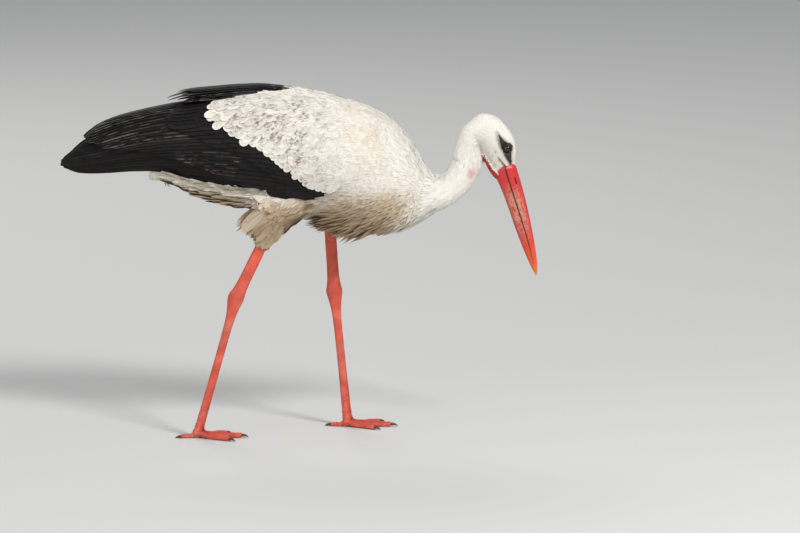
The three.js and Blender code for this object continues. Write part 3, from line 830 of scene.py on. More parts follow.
def plumage_colour(points):
    """The colour of the coat that grows at each point, in the bird's own millimetres."""
    x, y, z = points.T
    degrees, _ = body_place(points)
    spine = along_spine(points)
    patches = waves(points, 34, 3)
    drawn_out = points * (0.35, 1.0, 1.0)
    on_trunk = smooth(spine, NECK_FOOT - 20, NECK_FOOT + 30) * (1 - smooth(x, 120, 175))
    flank = smooth(z, 400, 366) * smooth(x, -270, -180) * smooth(x, 30, -20)
    under_rump = smooth(degrees, 140, 150) * smooth(x, -110, -150)
    thigh = smooth(z, 372, 335) * smooth(x, 20, -20)
    hip = smooth(z, 392, 362) * smooth(x, -112, -62) * smooth(x, 20, -20)
    breast = smooth(z, 412, 366) * smooth(x, -5, 30) * smooth(x, 160, 112)
    ragged = breast * smooth(z, 378, 346) * smooth(x, 150, 105)
    # streaks and deep mark where the lower breast gets its tan and brown, partly stain and partly painted
    # shade between the locks.
    streaks, deep = smooth(waves(drawn_out, 6, 51), -0.1, 0.5), smooth(waves(drawn_out, 5, 53), 0.15, 0.7)
    shoulder = smooth(x, 20, 60) * smooth(x, 112, 80) * smooth(degrees, 12, 28) * smooth(degrees, 105, 70)
    wing = wing_share(x, degrees) * smooth(degrees, 16, 26)
    face = smooth(spine, NAPE + 12, NAPE - 14)
    cheek = bell(x, 258, 9) * smooth(z, 449, 440) * smooth(z, 412, 422)
    stain = np.exp(-(((x - 222) / 5.5) ** 2) - (((z - 421) / 8) ** 2)) * (y < 0)
    colour = np.tile(WHITE, (len(points), 1))
    for paint, share in (
        (CREAM, on_trunk * (0.15 + 0.75 * smooth(z, 405, 350) + 0.12 * patches)),
        (BEIGE, flank * (0.75 + 0.25 * patches)),
        (BEIGE, under_rump * 0.55),
        (BEIGE, thigh * 0.8),
        (TAN, hip * (0.55 + 0.2 * patches)),
        (BEIGE, breast * (0.95 + 0.4 * patches)),
        # Tan streaks: partly the breast's own stain, partly painted shade between the locks. Brown streaks,
        # darker towards the bottom: painted shade in the deepest gaps.
        (TAN, ragged * (0.5 + 0.5 * streaks)),
        (BROWN, ragged * deep * smooth(z, 360, 335) * 0.6),
        (CREAM, shoulder * (0.5 + 0.5 * patches)),
        (GREYED, wing * smooth(waves(points, 9, 11), 0.2, 0.9) * 0.22 * smooth(x, 60, 10)),
        (BROWN, face * cheek * smooth(waves(points * (1, 1, 0.4), 3.2, 5), 0.05, 0.6) * 0.75),
        (CREAM, face * smooth(z, 470, 430) * 0.4),
        (FACE_BLACK * 2, band_share(points, BARE_PATCH, 4.5) * (0.75 + 0.5 * waves(points, 2.2, 6))),
        (BROWN, band_share(points, GAPE) * face),
        (STAIN_RED, stain * (0.62 + 0.3 * waves(points, 4, 8))),
    ):
        colour = over(colour, paint, share)
    return np.clip(colour, 0, 0.9)


def flecks(points):
    """How strongly the wing's feathers are smudged with grey-brown."""
    x = points[:, 0]
    degrees, _ = body_place(points)
    patches = smooth(waves(points, 16, 41), -0.7, 0.3) * smooth(waves(points, 5, 43), -0.6, 0.2)
    zone = smooth(degrees, 20, 30) * smooth(degrees, 128, 122) * smooth(x, 40, -20)
    return wing_share(x, degrees) * zone * patches


def black_share(points):
    """1 where the body lies under the black flight feathers, for the skin."""
    x = points[:, 0]
    degrees, level = body_place(points)
    edge = white_edge(degrees)
    return wing_share(x, degrees) * smooth(x, edge + 22, edge + 8) * smooth(level, -4, -9)


def skin_colour(points):
    bare = band_share(points, BARE_PATCH)
    near_eye = np.zeros(len(points))
    for side in SIDES.values():
        centre, look = eye_frame(side)
        near_eye = np.maximum(near_eye, smooth(np.linalg.norm(points - centre - look * 6, axis=1), 10.5, 8.6))
    colour = plumage_colour(points) * 0.95
    colour = over(colour, JET * 1.3, black_share(points))
    gular = band_share(points, GULAR)
    colour = over(colour, BROWN * 0.5, 4 * gular * (1 - gular))
    colour = over(colour, GULAR_RED * (0.9 + 0.3 * waves(points, 5, 2)[:, None]), gular)
    colour = over(colour, FACE_BLACK, np.maximum(bare, near_eye))
    legs = leg_skin_share(points)
    mottle = waves(points * (1, 1, 0.5), 12, 21)[:, None]
    red = LEG_RED * (1 + 0.16 * mottle) + LEG_PALER * np.clip(waves(points, 26, 4), 0, 1)[:, None]
    colour = over(colour, red, legs)
    return np.clip(colour, 0, 0.9), np.maximum.reduce([bare, near_eye, gular, legs])


def store(mesh, name, values, kind="FLOAT", domain="POINT"):
    spot = mesh.attributes.get(name) or mesh.attributes.new(name, kind, domain)
    key = {"FLOAT": "value", "FLOAT_VECTOR": "vector", "FLOAT_COLOR": "color"}[kind]
    values = np.asarray(values, np.float32)
    if kind == "FLOAT_COLOR":
        values = np.concatenate([values, np.ones((len(values), 1), np.float32)], 1)
    spot.data.foreach_set(key, np.ascontiguousarray(values).ravel())


def unwrap(piece):
    """Opens the skin out into islands of its own shape."""
    bpy.context.view_layer.objects.active = piece
    piece.select_set(True)
    piece.data.uv_layers.new(name="OFBake")
    bpy.ops.object.mode_set(mode="EDIT")
    bpy.ops.mesh.select_all(action="SELECT")
    bpy.ops.uv.smart_project(angle_limit=math.radians(66), island_margin=0.002)
    bpy.ops.object.mode_set(mode="OBJECT")
    piece.select_set(False)


# ------------------------------------------------------------------ geometry nodes that lay the feathers


class Value:
    """What a node gives out, which sums and products can be written with."""

    def __init__(self, wiring, socket):
        self.wiring, self.socket = wiring, socket

    def __add__(self, other):
        return self.wiring.maths("ADD", self, other)

    def __radd__(self, other):
        return self.wiring.maths("ADD", other, self)

    def __sub__(self, other):
        return self.wiring.maths("SUBTRACT", self, other)

    def __rsub__(self, other):
        return self.wiring.maths("SUBTRACT", other, self)

    def __mul__(self, other):
        return self.wiring.maths("MULTIPLY", self, other)

    def __abs__(self):
        return self.wiring.maths("ABSOLUTE", self)


class Wiring:
    """Short ways to add nodes to a tree and to wire them."""

    def add(self, kind, values=(), out=0, **settings):
        """Adds a node, feeds its inputs by place or name, and gives back one of its outputs."""
        node = self.tree.nodes.new(kind)
        for key, value in settings.items():
            setattr(node, key, value)
        for key, value in dict(values).items():
            if isinstance(value, Value):
                self.tree.links.new(value.socket, node.inputs[key])
            else:
                node.inputs[key].default_value = value
        return Value(self, node.outputs[out])

    def maths(self, operation, *values, **settings):
        return self.add("ShaderNodeMath", dict(enumerate(values)), operation=operation, **settings)


class Nodes(Wiring):
    """A tree of geometry nodes in the making."""

    def __init__(self, name, **wanted):
        self.tree = bpy.data.node_groups.new(name, "GeometryNodeTree")
        self.tree.interface.new_socket("Geometry", in_out="OUTPUT", socket_type="NodeSocketGeometry")
        self.tree.interface.new_socket("Geometry", in_out="INPUT", socket_type="NodeSocketGeometry")
        self.names = {}
        for label, kind in wanted.items():
            label = label.replace("_", " ")
            socket = self.tree.interface.new_socket(label, in_out="INPUT", socket_type="NodeSocket" + kind)
            self.names[label] = socket.identifier
        given = self.tree.nodes.new("NodeGroupInput").outputs
        self.given = {socket.name: Value(self, socket) for socket in given}

    def attribute(self, name, kind="FLOAT"):
        return self.add("GeometryNodeInputNamedAttribute", {0: name}, data_type=kind)

    def vector(self, operation, *values, out=0):
        places = {"SCALE": (0, 3)}.get(operation, (0, 1, 2))
        return self.add("ShaderNodeVectorMath", dict(zip(places, values)), out=out, operation=operation)

    def chance(self, low, high, seed, extra):
        values = {2: low, 3: high, 8: seed + extra}
        return self.add("FunctionNodeRandomValue", values, out=1, data_type="FLOAT")

    def stored(self, geometry, name, value, kind="FLOAT", domain="POINT"):
        return self.add(
            "GeometryNodeStoreNamedAttribute", {0: geometry, 2: name, 3: value}, data_type=kind, domain=domain
        )

    def end(self, geometry):
        self.tree.links.new(geometry.socket, self.tree.nodes.new("NodeGroupOutput").inputs[0])
        return self


def carried_out(name, source, nodes, **inputs):
    """A plain mesh of what the tree makes of the source, as a piece of its own."""
    worker = source.copy()
    worker.data = source.data.copy()
    COLLECTION.objects.link(worker)
    modifier = worker.modifiers.new("feathers", "NODES")
    modifier.node_group = nodes.tree
    for label, value in inputs.items():
        modifier[nodes.names[label.replace("_", " ")]] = value
    graph = bpy.context.evaluated_depsgraph_get()
    done = worker.evaluated_get(graph)
    mesh = bpy.data.meshes.new_from_object(done, preserve_all_data_layers=True, depsgraph=graph)
    worker.modifiers.clear()
    old = worker.data
    bpy.data.objects.remove(worker)
    bpy.data.meshes.remove(old)
    mesh.name = name
    return placed(name, mesh)


MOST_FEATHERS = 2.0e6  # for each square metre, before they are thinned out to the spacing
PATCH_SIZE = 0.003  # of each feather's patch on the skin's chart


def coat_tree(name, scattered):
    """Feathers set in the skin along its lie. Scattered ones have their tips laid back down on the skin."""
    wanted = dict(Skin="Object", Feather="Object", Finish="Material")
    made = Nodes(name, **wanted, Spacing="Float", Wildness="Float", Seed="Int")
    given = made.given
    skin_shape = made.add("GeometryNodeObjectInfo", {0: given["Skin"]}, out=4)
    roots = given["Geometry"]
    if scattered:
        spread = made.tree.nodes.new("GeometryNodeDistributePointsOnFaces")
        spread.distribute_method = "POISSON"
        values = {0: roots, 2: given["Spacing"], 5: made.attribute("thick"), 6: given["Seed"]}
        for key, value in values.items():
            made.tree.links.new(value.socket, spread.inputs[key])
        spread.inputs[3].default_value = MOST_FEATHERS
        points, normals = (Value(made, spread.outputs[key]) for key in ("Points", "Normal"))
        roots = made.stored(points, "out", normals, "FLOAT_VECTOR")
    out, lie = made.attribute("out", "FLOAT_VECTOR"), made.attribute("lie", "FLOAT_VECTOR")
    seed, wild = given["Seed"], given["Wildness"]
    length = made.attribute("long") * made.chance(0.84, 1.16, seed, 1)
    width = made.attribute("wide") * made.chance(0.86, 1.14, seed, 2)
    lift = made.attribute("lift") * made.chance(0.55, 1.35, seed, 3)
    swing = made.chance(-1.0, 1.0, seed, 4) * wild
    way = made.add("ShaderNodeVectorRotate", {0: lie, 2: out, 3: swing}, rotation_type="AXIS_ANGLE")
    here = made.add("GeometryNodeInputPosition")
    reach_to = made.vector("ADD", here, made.vector("SCALE", way, length))
    down = reach_to
    if scattered:
        down = made.add("GeometryNodeProximity", {0: skin_shape, 2: reach_to}, target_element="FACES")
    tip = made.vector("ADD", down, made.vector("SCALE", out, lift))
    aim = made.vector("NORMALIZE", made.vector("SUBTRACT", tip, here))
    turned = made.add("FunctionNodeAxesToRotation", {0: aim, 1: out}, primary_axis="Y", secondary_axis="Z")
    roll = made.chance(-0.7, 0.7, seed, 5) * wild
    rolled = made.add("FunctionNodeAxisAngleToRotation", {0: (0.0, 1.0, 0.0), 1: roll})
    turned = made.add("FunctionNodeRotateRotation", {0: turned, 1: rolled}, rotation_space="LOCAL")
    size = made.add("ShaderNodeCombineXYZ", {0: width, 1: length, 2: made.attribute("bend")})
    charted = made.attribute("OFBake", "FLOAT_VECTOR")
    root_chart = made.add(
        "GeometryNodeSampleNearestSurface", {0: skin_shape, 1: charted, 3: here}, data_type="FLOAT_VECTOR"
    )
    roots = made.stored(roots, "chart", root_chart, "FLOAT_VECTOR")
    roots = made.stored(roots, "tone", made.chance(0.0, 1.0, seed, 6))
    sunk = made.vector("SCALE", out, made.attribute("lift") * -0.3)
    roots = made.add("GeometryNodeSetPosition", {0: roots, 3: sunk})
    feather = made.add("GeometryNodeObjectInfo", {0: given["Feather"], 1: True}, out=4)
    laid = made.add("GeometryNodeInstanceOnPoints", {0: roots, 2: feather, 5: turned, 6: size})
    laid = made.add("GeometryNodeRealizeInstances", {0: laid})
    patch = made.vector("SCALE", made.attribute("vane", "FLOAT_VECTOR"), PATCH_SIZE)
    chart = made.vector("ADD", made.attribute("chart", "FLOAT_VECTOR"), patch)
    laid = made.stored(laid, "OFBake", chart, "FLOAT2", "CORNER")
    laid = made.add("GeometryNodeSetMaterial", {0: laid, 2: given["Finish"]})
    return made.end(laid)


# ------------------------------------------------------------------ feathers to be laid


def vane(name, rows, strands=((0, 0, 1, 1),), camber=0.14, curl=0.35, thick=0.12):
    """A closed, thin feather one unit long and wide, from rows of (along, half width) between root and tip.
    Each strand is (sideways shift, fan angle, share of the length, share of the width)."""
    points, faces, chart = [], [], []
    for shift, fan, longer, wider in strands:
        turn = lambda x, y: (x * math.cos(fan) + y * math.sin(fan), y * math.cos(fan) - x * math.sin(fan))

        def spot(x, y, down=0.0):
            px, py = turn(x * wider, y * longer)
            px += shift * min(1.0, y * 2)
            points.append((px, py, -curl * py * py - camber * (2 * px) ** 2 - down))
            chart.append((px + 0.5, py))
            return len(points) - 1

        root, last = spot(0, 0), None
        for y, half in rows:
            now = (spot(-half, y), spot(0, y), spot(half, y), spot(0, y, thick))
            left, top, right, under = now
            if last is None:
                faces += [(root, top, left), (root, right, top), (root, left, under), (root, under, right)]
            else:
                l0, t0, r0, u0 = last
                faces += [(l0, t0, top, left), (t0, r0, right, top)]
                faces += [(l0, left, under, u0), (u0, under, right, r0)]
            last = now
        end = spot(0, 1)
        left, top, right, under = last
        faces += [(end, left, top), (end, top, right), (end, under, left), (end, right, under)]
    mesh = mesh_of(name, points, faces=faces)
    mesh.shade_smooth()
    mesh.set_sharp_from_angle(angle=math.radians(60))
    layer = mesh.uv_layers.new(name="vane")
    for loop in mesh.loops:
        layer.data[loop.index].uv = chart[loop.vertex_index]
    return placed(name, mesh)


FEATHERS = {  # name, rows, strands, camber, curl and thickness
    "covert": ("covert", [(0.3, 0.34), (0.6, 0.48), (0.78, 0.5), (0.9, 0.41), (0.97, 0.25)]),
    "plume": (
        "flank plume", [(0.2, 0.3), (0.5, 0.46), (0.78, 0.4), (0.93, 0.22)],
        ((0, 0, 1, 0.72), (-0.15, -0.13, 0.95, 0.6), (0.15, 0.13, 0.94, 0.6)), 0.2, 0.5, 0.08,
    ),
    "rounded": ("rounded feather", [(0.35, 0.36), (0.68, 0.5), (0.9, 0.36)]),
    "tiny": ("face feather", [(0.5, 0.5), (0.82, 0.3)], ((0, 0, 1, 1),), 0.2, 0.2),
    "pair": (
        "neck feather", [(0.4, 0.42), (0.78, 0.3)],
        ((-0.12, -0.10, 1.0, 0.8), (0.14, 0.13, 0.93, 0.8)), 0.12, 0.3, 0.1,
    ),
    "soft": (
        "soft feather", [(0.45, 0.40), (0.8, 0.24)],
        ((0, 0, 1, 0.8), (-0.2, -0.26, 0.92, 0.62), (0.2, 0.26, 0.92, 0.62)), 0.14, 0.3, 0.1,
    ),
    "lock": (
        "breast lock", [(0.3, 0.45), (0.6, 0.42), (0.85, 0.2)],
        ((0, 0, 1, 1), (0.1, 0.07, 0.86, 0.6)), 0.3, 0.25, 0.1,
    ),
    "scruffy": (
        "small covert", [(0.35, 0.4), (0.76, 0.36)],
        ((0, 0, 1, 0.72), (-0.17, -0.14, 0.92, 0.6), (0.17, 0.13, 0.95, 0.6)), 0.14, 0.3, 0.08,
    ),
    "plate": ("leg plate", [(0.22, 0.42), (0.72, 0.5)], ((0, 0, 1, 1),), 0.5, 0.12, 0.6),
}


# ------------------------------------------------------------------ finishes


class Paint(Wiring):
    """A material in the making."""

    def __init__(self, name, roughness=0.8, **sockets):
        self.material = bpy.data.materials.new(name)
        self.material.use_nodes = True
        self.tree = self.material.node_tree
        self.surface = self.tree.nodes["Principled BSDF"]
        for key, value in {"Roughness": roughness, **sockets}.items():
            self.surface.inputs[key.replace("_", " ")].default_value = value

    def step(self, value, low, high):
        """0 at low, 1 at high and even between them, whichever of the two is larger."""
        return self.maths("DIVIDE", value - low, high - low, use_clamp=True)

    def blend(self, share, a, b, how="MIX"):
        wrap = lambda v: (*v, 1.0) if isinstance(v, (tuple, list)) and len(v) == 3 else v
        values = {0: share, 6: wrap(a), 7: wrap(b)}
        return self.add("ShaderNodeMix", values, out=2, data_type="RGBA", blend_type=how)

    def shaded(self, colour, factor):
        """The colour, darker or lighter by a factor."""
        grey = self.add("ShaderNodeCombineColor", {0: factor, 1: factor, 2: factor})
        return self.blend(1.0, colour, grey, "MULTIPLY")

    def attribute(self, key, out="Fac"):
        return self.add("ShaderNodeAttribute", out=out, attribute_name=key)

    def place(self):
        return self.add("ShaderNodeTexCoord", out=3)

    def spot(self, *values):
        return self.add("ShaderNodeCombineXYZ", dict(enumerate(values)))

    def noise(self, place, scale, detail, **more):
        return self.add("ShaderNodeTexNoise", {"Vector": place, "Scale": scale, "Detail": detail, **more})

    def feed(self, socket, value):
        self.tree.links.new(value.socket, self.surface.inputs[socket])

    def bump(self, height, strength, distance):
        values = {"Strength": strength, "Distance": distance, "Height": height}
        self.feed("Normal", self.add("ShaderNodeBump", values))


def feather_finish(name, shaft=0.94, root_grey_and_shade=0.9, barb=0.07, tip_light=1.03, rough=0.85, soften=0.75):
    """Vaned feathers: the root's colour, fine barbs slanting from the shaft, darker towards the root (partly
    greyer bases, partly painted shade under the feathers above) and painted a little lighter at the tip.
    """
    made = Paint(name, rough, Specular_IOR_Level=0.25)
    step = made.step
    chart = made.add("ShaderNodeUVMap", out=0, uv_map="vane")
    split = made.add("ShaderNodeSeparateXYZ", {0: chart}, out=0)
    along = Value(made, split.socket.node.outputs[1])
    beside = abs(split - 0.5)
    slanted = along - beside * 0.55
    tone = made.attribute("tone")
    strands = made.noise(made.spot(beside * 2.0, slanted * 26.0, tone * 37.0), 1.0, 2.0, Roughness=0.6)
    colour = made.attribute("coat_colour", "Color")
    blurred = made.noise(made.place(), 230.0, 3.0)
    smudge = step(along, 0.42, 0.62) * step(along, 0.98, 0.8) * step(beside, 0.5, 0.15)
    smudge = smudge * made.attribute("fleck") * step(blurred, 0.3, 0.52)
    colour = made.blend(smudge * 0.85, colour, SMUDGE)
    shade = (strands * (2 * barb) + (1 - barb)) * (0.9 + tone * 0.16)
    # Painted shade: each feather darkens towards its root, partly for its greyer base and partly for the
    # shade under the feathers that lie over it; its tip is painted a little lighter.
    shade = shade * (root_grey_and_shade + step(along, 0.1, 0.7) * (1 - root_grey_and_shade))
    shade = shade * (1.0 + step(along, 0.8, 1.0) * (tip_light - 1))
    shade = shade * (1.0 + step(beside, 0.035, 0.015) * (shaft - 1))
    made.feed("Base Color", made.shaded(colour, shade))
    lay = made.add("ShaderNodeNewGeometry", out=1)
    values = {"Strength": 0.3, "Distance": 0.0004, "Height": strands, "Normal": lay}
    grained = made.add("ShaderNodeBump", values)
    skin_way = made.attribute("out", "Vector")
    facing = made.add("ShaderNodeVectorMath", {0: lay, 1: skin_way}, out=1, operation="DOT_PRODUCT")
    share = step(facing, 0.0, 0.6) * soften
    even = made.add("ShaderNodeMix", {0: share, 4: grained, 5: skin_way}, out=1, data_type="VECTOR")
    made.feed("Normal", made.add("ShaderNodeVectorMath", {0: even}, operation="NORMALIZE"))
    made.feed("Roughness", rough - 0.06 + strands * 0.12)
    return made.material


def skin_finish():
    """Down under the feathers, and bare scaly skin on the face, throat and legs."""
    made = Paint("bird skin", 0.8, Specular_IOR_Level=0.4)
    colour, bare = made.attribute("skin_colour", "Color"), made.attribute("bare")
    place = made.place()
    cells = made.add("ShaderNodeTexVoronoi", {"Vector": place, "Scale": 420.0}, feature="DISTANCE_TO_EDGE")
    lines = made.step(cells, 0.0, 0.16)
    fine = made.noise(place, 900.0, 3.0)
    soft = made.noise(place, 160.0, 4.0)
    darker = 0.74 + lines * 0.26
    tone = 0.86 + soft * 0.28
    made.feed("Base Color", made.shaded(colour, 1.0 + bare * (darker * tone - 1.0)))
    made.bump(lines * bare + fine * 0.35, 0.45, 0.0006)
    made.feed("Roughness", 0.86 - bare * 0.42 + soft * 0.12)
    return made.material


def scale_finish():
    """Small horny plates on the legs: red, lighter and darker in soft patches, with pale patches of painted
    highlight.
    """
    made = Paint("leg scales", 0.42, Specular_IOR_Level=0.45)
    colour, tone = made.attribute("coat_colour", "Color"), made.attribute("tone")
    place = made.place()
    soft = made.noise(place, 90.0, 4.0)
    fine = made.noise(place, 1400.0, 2.0)
    red = made.shaded(colour, (0.86 + tone * 0.24) * (0.8 + soft * 0.4))
    # Painted highlight: pale patches where the soft noise is high.
    made.feed("Base Color", made.blend(made.step(soft, 0.56, 0.72) * 0.35, red, SCALE_HIGHLIGHT))
    made.feed("Roughness", 0.36 + soft * 0.18)
    made.bump(fine, 0.3, 0.0003)
    return made.material


def bill_finish(upper):
    """Red horn, brighter at its root, pale and flecked along its middle and orange at its tip."""
    made = Paint("upper bill horn" if upper else "lower bill horn", 0.34)
    step = made.step
    along, up = made.attribute("along_bill"), made.attribute("up_bill")
    place = made.place()
    drawn = made.spot(along * 9.0, up * 2.4, 0.0 if upper else 7.0)
    streaks = made.noise(drawn, 2.2, 5.0, Roughness=0.62)
    flecks = made.noise(place, 330.0, 3.0, Roughness=0.6)
    pits = made.noise(place, 95.0, 2.0)
    colour = made.blend(step(along, 0.92, 1.30), BILL_ROOT, BILL_FRONT)
    colour = made.blend(step(along, 1.38, 1.6), colour, BILL_TIP_ORANGE)
    pale_from, pale_to = (0.16, 0.42) if upper else (0.10, 0.34)
    pale = step(along, pale_from, pale_to) * step(along, 1.14, 0.74)
    low = step(up, 0.92, 0.42) if upper else step(up, 1.1, 0.5)
    colour = made.blend(pale * (low * step(streaks, 0.36, 0.56)), colour, BILL_PALE)
    dark = step(flecks, 0.58, 0.66)
    dark = dark * (step(along, 0.1, 0.5) * step(along, 1.25, 0.8))
    colour = made.blend(dark * 0.5, colour, BILL_FLECK)
    colour = made.blend(step(up, 0.1, 0.045) * 0.8, colour, BILL_SEAM)
    if upper:
        first, last, level = NOSTRIL
        first, last = first / 100, last / 100
        hole = step(along, first + 0.002, first + 0.02)
        hole = hole * step(along, last + 0.01, last - 0.01)
        hole = hole * step(abs(up - (level + 0.015)), 0.07, 0.035)
        # The nostril's slit is painted dark, as painted shade inside the opening.
        colour = made.blend(hole * 0.93, colour, NOSTRIL_DARK)
    made.feed("Base Color", colour)
    made.feed("Roughness", 0.24 + pits * 0.26)
    made.bump(streaks + flecks * 0.6, 0.28, 0.0006)
    return made.material


def claw_finish():
    made = Paint("claw horn", 0.4)
    grain = made.noise(made.place(), 260.0, 3.0)
    made.feed("Base Color", made.blend(grain, (0.035, 0.018, 0.014), (0.15, 0.07, 0.05)))
    made.feed("Roughness", 0.3 + grain * 0.2)
    made.bump(grain, 0.2, 0.0004)
    return made.material


def eye_finish():
    """A near-black pupil in a dark brown iris under a wet cornea."""
    made = Paint("wet eye", 0.06, Coat_Weight=0.25, Coat_Roughness=0.02)
    angle = made.attribute("from_pupil")
    rays = made.noise(made.place(), 700.0, 3.0)
    iris = made.blend(rays, (0.022, 0.010, 0.006), (0.085, 0.042, 0.022))
    colour = made.blend(made.step(angle, 0.235, 0.215), iris, (0.002, 0.002, 0.002))
    colour = made.blend(made.step(angle, 0.40, 0.44), colour, (0.012, 0.008, 0.007))
    made.feed("Base Color", colour)
    made.feed("Roughness", 0.04 + rays * 0.05)
    return made.material


def black_feather_finish():
    """Black flight feathers with fine barbs, some of them browner, and pale edges: worn fringes on some,
    painted glints along the lower secondaries.
    """
    made = Paint("black flight feathers", 0.5, Specular_IOR_Level=0.16)
    step = made.step
    along, across, tone = made.attribute("along"), made.attribute("across"), made.attribute("tone")
    beside = abs(across)
    slanted = along * 1.0 - beside * 0.06
    barbs = made.noise(made.spot(beside * 1.2, slanted * 240.0, tone * 41.0), 1.0, 2.0, Roughness=0.55)
    pale_edge_pattern = made.noise(made.spot(along * 11.0, beside, tone * 53.0), 1.0, 4.0, Roughness=0.6)
    colour = made.blend(barbs, (0.004, 0.0038, 0.0045), (0.013, 0.012, 0.013))
    colour = made.blend(step(tone, 0.45, 1.0) * 0.6, colour, (0.018, 0.015, 0.013))
    worn = made.attribute("worn")
    # Pale edges: worn fringes, and on a stretch of the lower secondaries painted glints where light catches
    # their edges.
    edge = step(beside, 0.74, 0.93) * step(pale_edge_pattern, 0.46, 0.6)
    wear_and_glint_colour = made.blend(step(worn, 0.4, 0.95), (0.10, 0.078, 0.062), (0.36, 0.30, 0.245))
    colour = made.blend(edge * worn, colour, wear_and_glint_colour)
    colour = made.blend(step(beside, 0.06, 0.03) * 0.5, colour, (0.045, 0.038, 0.036))
    made.feed("Base Color", colour)
    made.feed("Roughness", 0.44 + barbs * 0.3)
    made.bump(barbs, 0.4, 0.0004)
    return made.material


# ------------------------------------------------------------------ flight feathers, black coverts and tail


def shaft_lines(name, lines):
    """Feather shafts as edges, each from its points, the way out of the feather, and half widths."""
    points, edges, start = [], [], 0
    marks = {"out": [], "half": [], "along": [], "tone": [], "worn": []}
    for line in lines:
        count = len(line["points"])
        points.append(line["points"])
        edges += [(start + i, start + i + 1) for i in range(count - 1)]
        start += count
        marks["out"].append(line["out"])
        marks["half"].append(line["half"] / 1000)
        marks["along"].append(np.linspace(0, 1, count))
        marks["tone"].append(np.full(count, line["tone"]))
        marks["worn"].append(line["worn"])
    mesh = mesh_of(name, to_model(np.concatenate(points)).tolist(), edges)
    for key, values in marks.items():
        store(mesh, key, np.concatenate(values), "FLOAT_VECTOR" if key == "out" else "FLOAT")
    return placed(name, mesh)


def blade_section(name, thick=0.055, ridge=0.05):
    """The cross section of a flight feather: a thin lens with the shaft's ridge along its middle."""
    ys = [-1, -0.8, -0.55, -0.3, -0.07, 0, 0.07, 0.3, 0.55, 0.8, 1]
    top = [(thick * (1 - abs(y) ** 1.7) * 0.6 + (ridge if abs(y) < 0.04 else 0), y) for y in ys]
    low = [(-thick * 0.5 * (1 - y * y), y) for y in ys[1:-1]][::-1]
    ring = top + low
    mesh = mesh_of(name, [(x, y, 0) for x, y in ring], [(i, (i + 1) % len(ring)) for i in range(len(ring))])
    store(mesh, "across", [y for _, y in ring])
    return placed(name, mesh)


def blade_tree():
    """Sweeps the blade's section along each shaft, as wide as the shaft's own half width says."""
    made = Nodes("sweep feather blades", Section="Object", Finish="Material")
    given = made.given
    shafts = made.add("GeometryNodeMeshToCurve", {0: given["Geometry"]})
    normal = made.tree.nodes.new("GeometryNodeSetCurveNormal")
    normal.mode = "FREE"
    made.tree.links.new(shafts.socket, normal.inputs[0])
    way = next(s for s in normal.inputs if s.name == "Normal" and s.type == "VECTOR")
    made.tree.links.new(made.attribute("out", "FLOAT_VECTOR").socket, way)
    section = made.add("GeometryNodeObjectInfo", {0: given["Section"]}, out=4)
    section = made.add("GeometryNodeMeshToCurve", {0: section})
    values = {0: Value(made, normal.outputs[0]), 1: section, 2: made.attribute("half"), 3: True}
    swept = made.add("GeometryNodeCurveToMesh", values)
    swept = made.add("GeometryNodeSetShadeSmooth", {0: swept})
    swept = made.add("GeometryNodeRealizeInstances", {0: swept})
    swept = made.add("GeometryNodeSetMaterial", {0: swept, 2: given["Finish"]})
    return made.end(swept)


def faced_outwards(piece):
    """Turns the faces of closed shapes outwards and drops doubled points."""
    shape = bmesh.new()
    shape.from_mesh(piece.data)
    bmesh.ops.remove_doubles(shape, verts=shape.verts, dist=1e-7)
    bmesh.ops.recalc_face_normals(shape, faces=shape.faces)
    shape.to_mesh(piece.data)
    shape.free()
    piece.data.update()


def tip_shape(t, blunt):
    """The share of a feather's width along it: half at the root, full, then rounded or pointed."""
    past = np.clip((t - blunt) / (1 - blunt), 0, 1)
    return (0.5 + 0.5 * smooth(t, 0, 0.3)) * np.maximum(1 - past**2.4, 0.012) ** 0.5


def blade(side, start, end, level, half, tilt, blunt, tone, worn, count=26):
    """One long feather over the body, from and to x and degrees. Its lower edge is tilted outwards."""
    t = 1 - (1 - np.linspace(0, 1, count)) ** 1.15
    x, degrees = mix(start[0], end[0], t), mix(start[1], end[1], t)
    points = on_body(x, degrees, side, level(t))
    beside = on_body(x, degrees + 1.5, side, level(t)) - points
    out = unit(np.cross(unit(np.gradient(points, axis=0)), beside))
    away = points - np.stack([x, 0 * x, axis_height(x)], 1)
    out *= np.sign((out * away).sum(1, keepdims=True))
    angle = math.radians(tilt)
    out = unit(out * math.cos(angle) - unit(beside) * math.sin(angle))
    worn = worn(x) if callable(worn) else np.full(count, worn)
    return {"points": points, "out": out, "half": half * tip_shape(t, blunt), "tone": tone, "worn": worn}


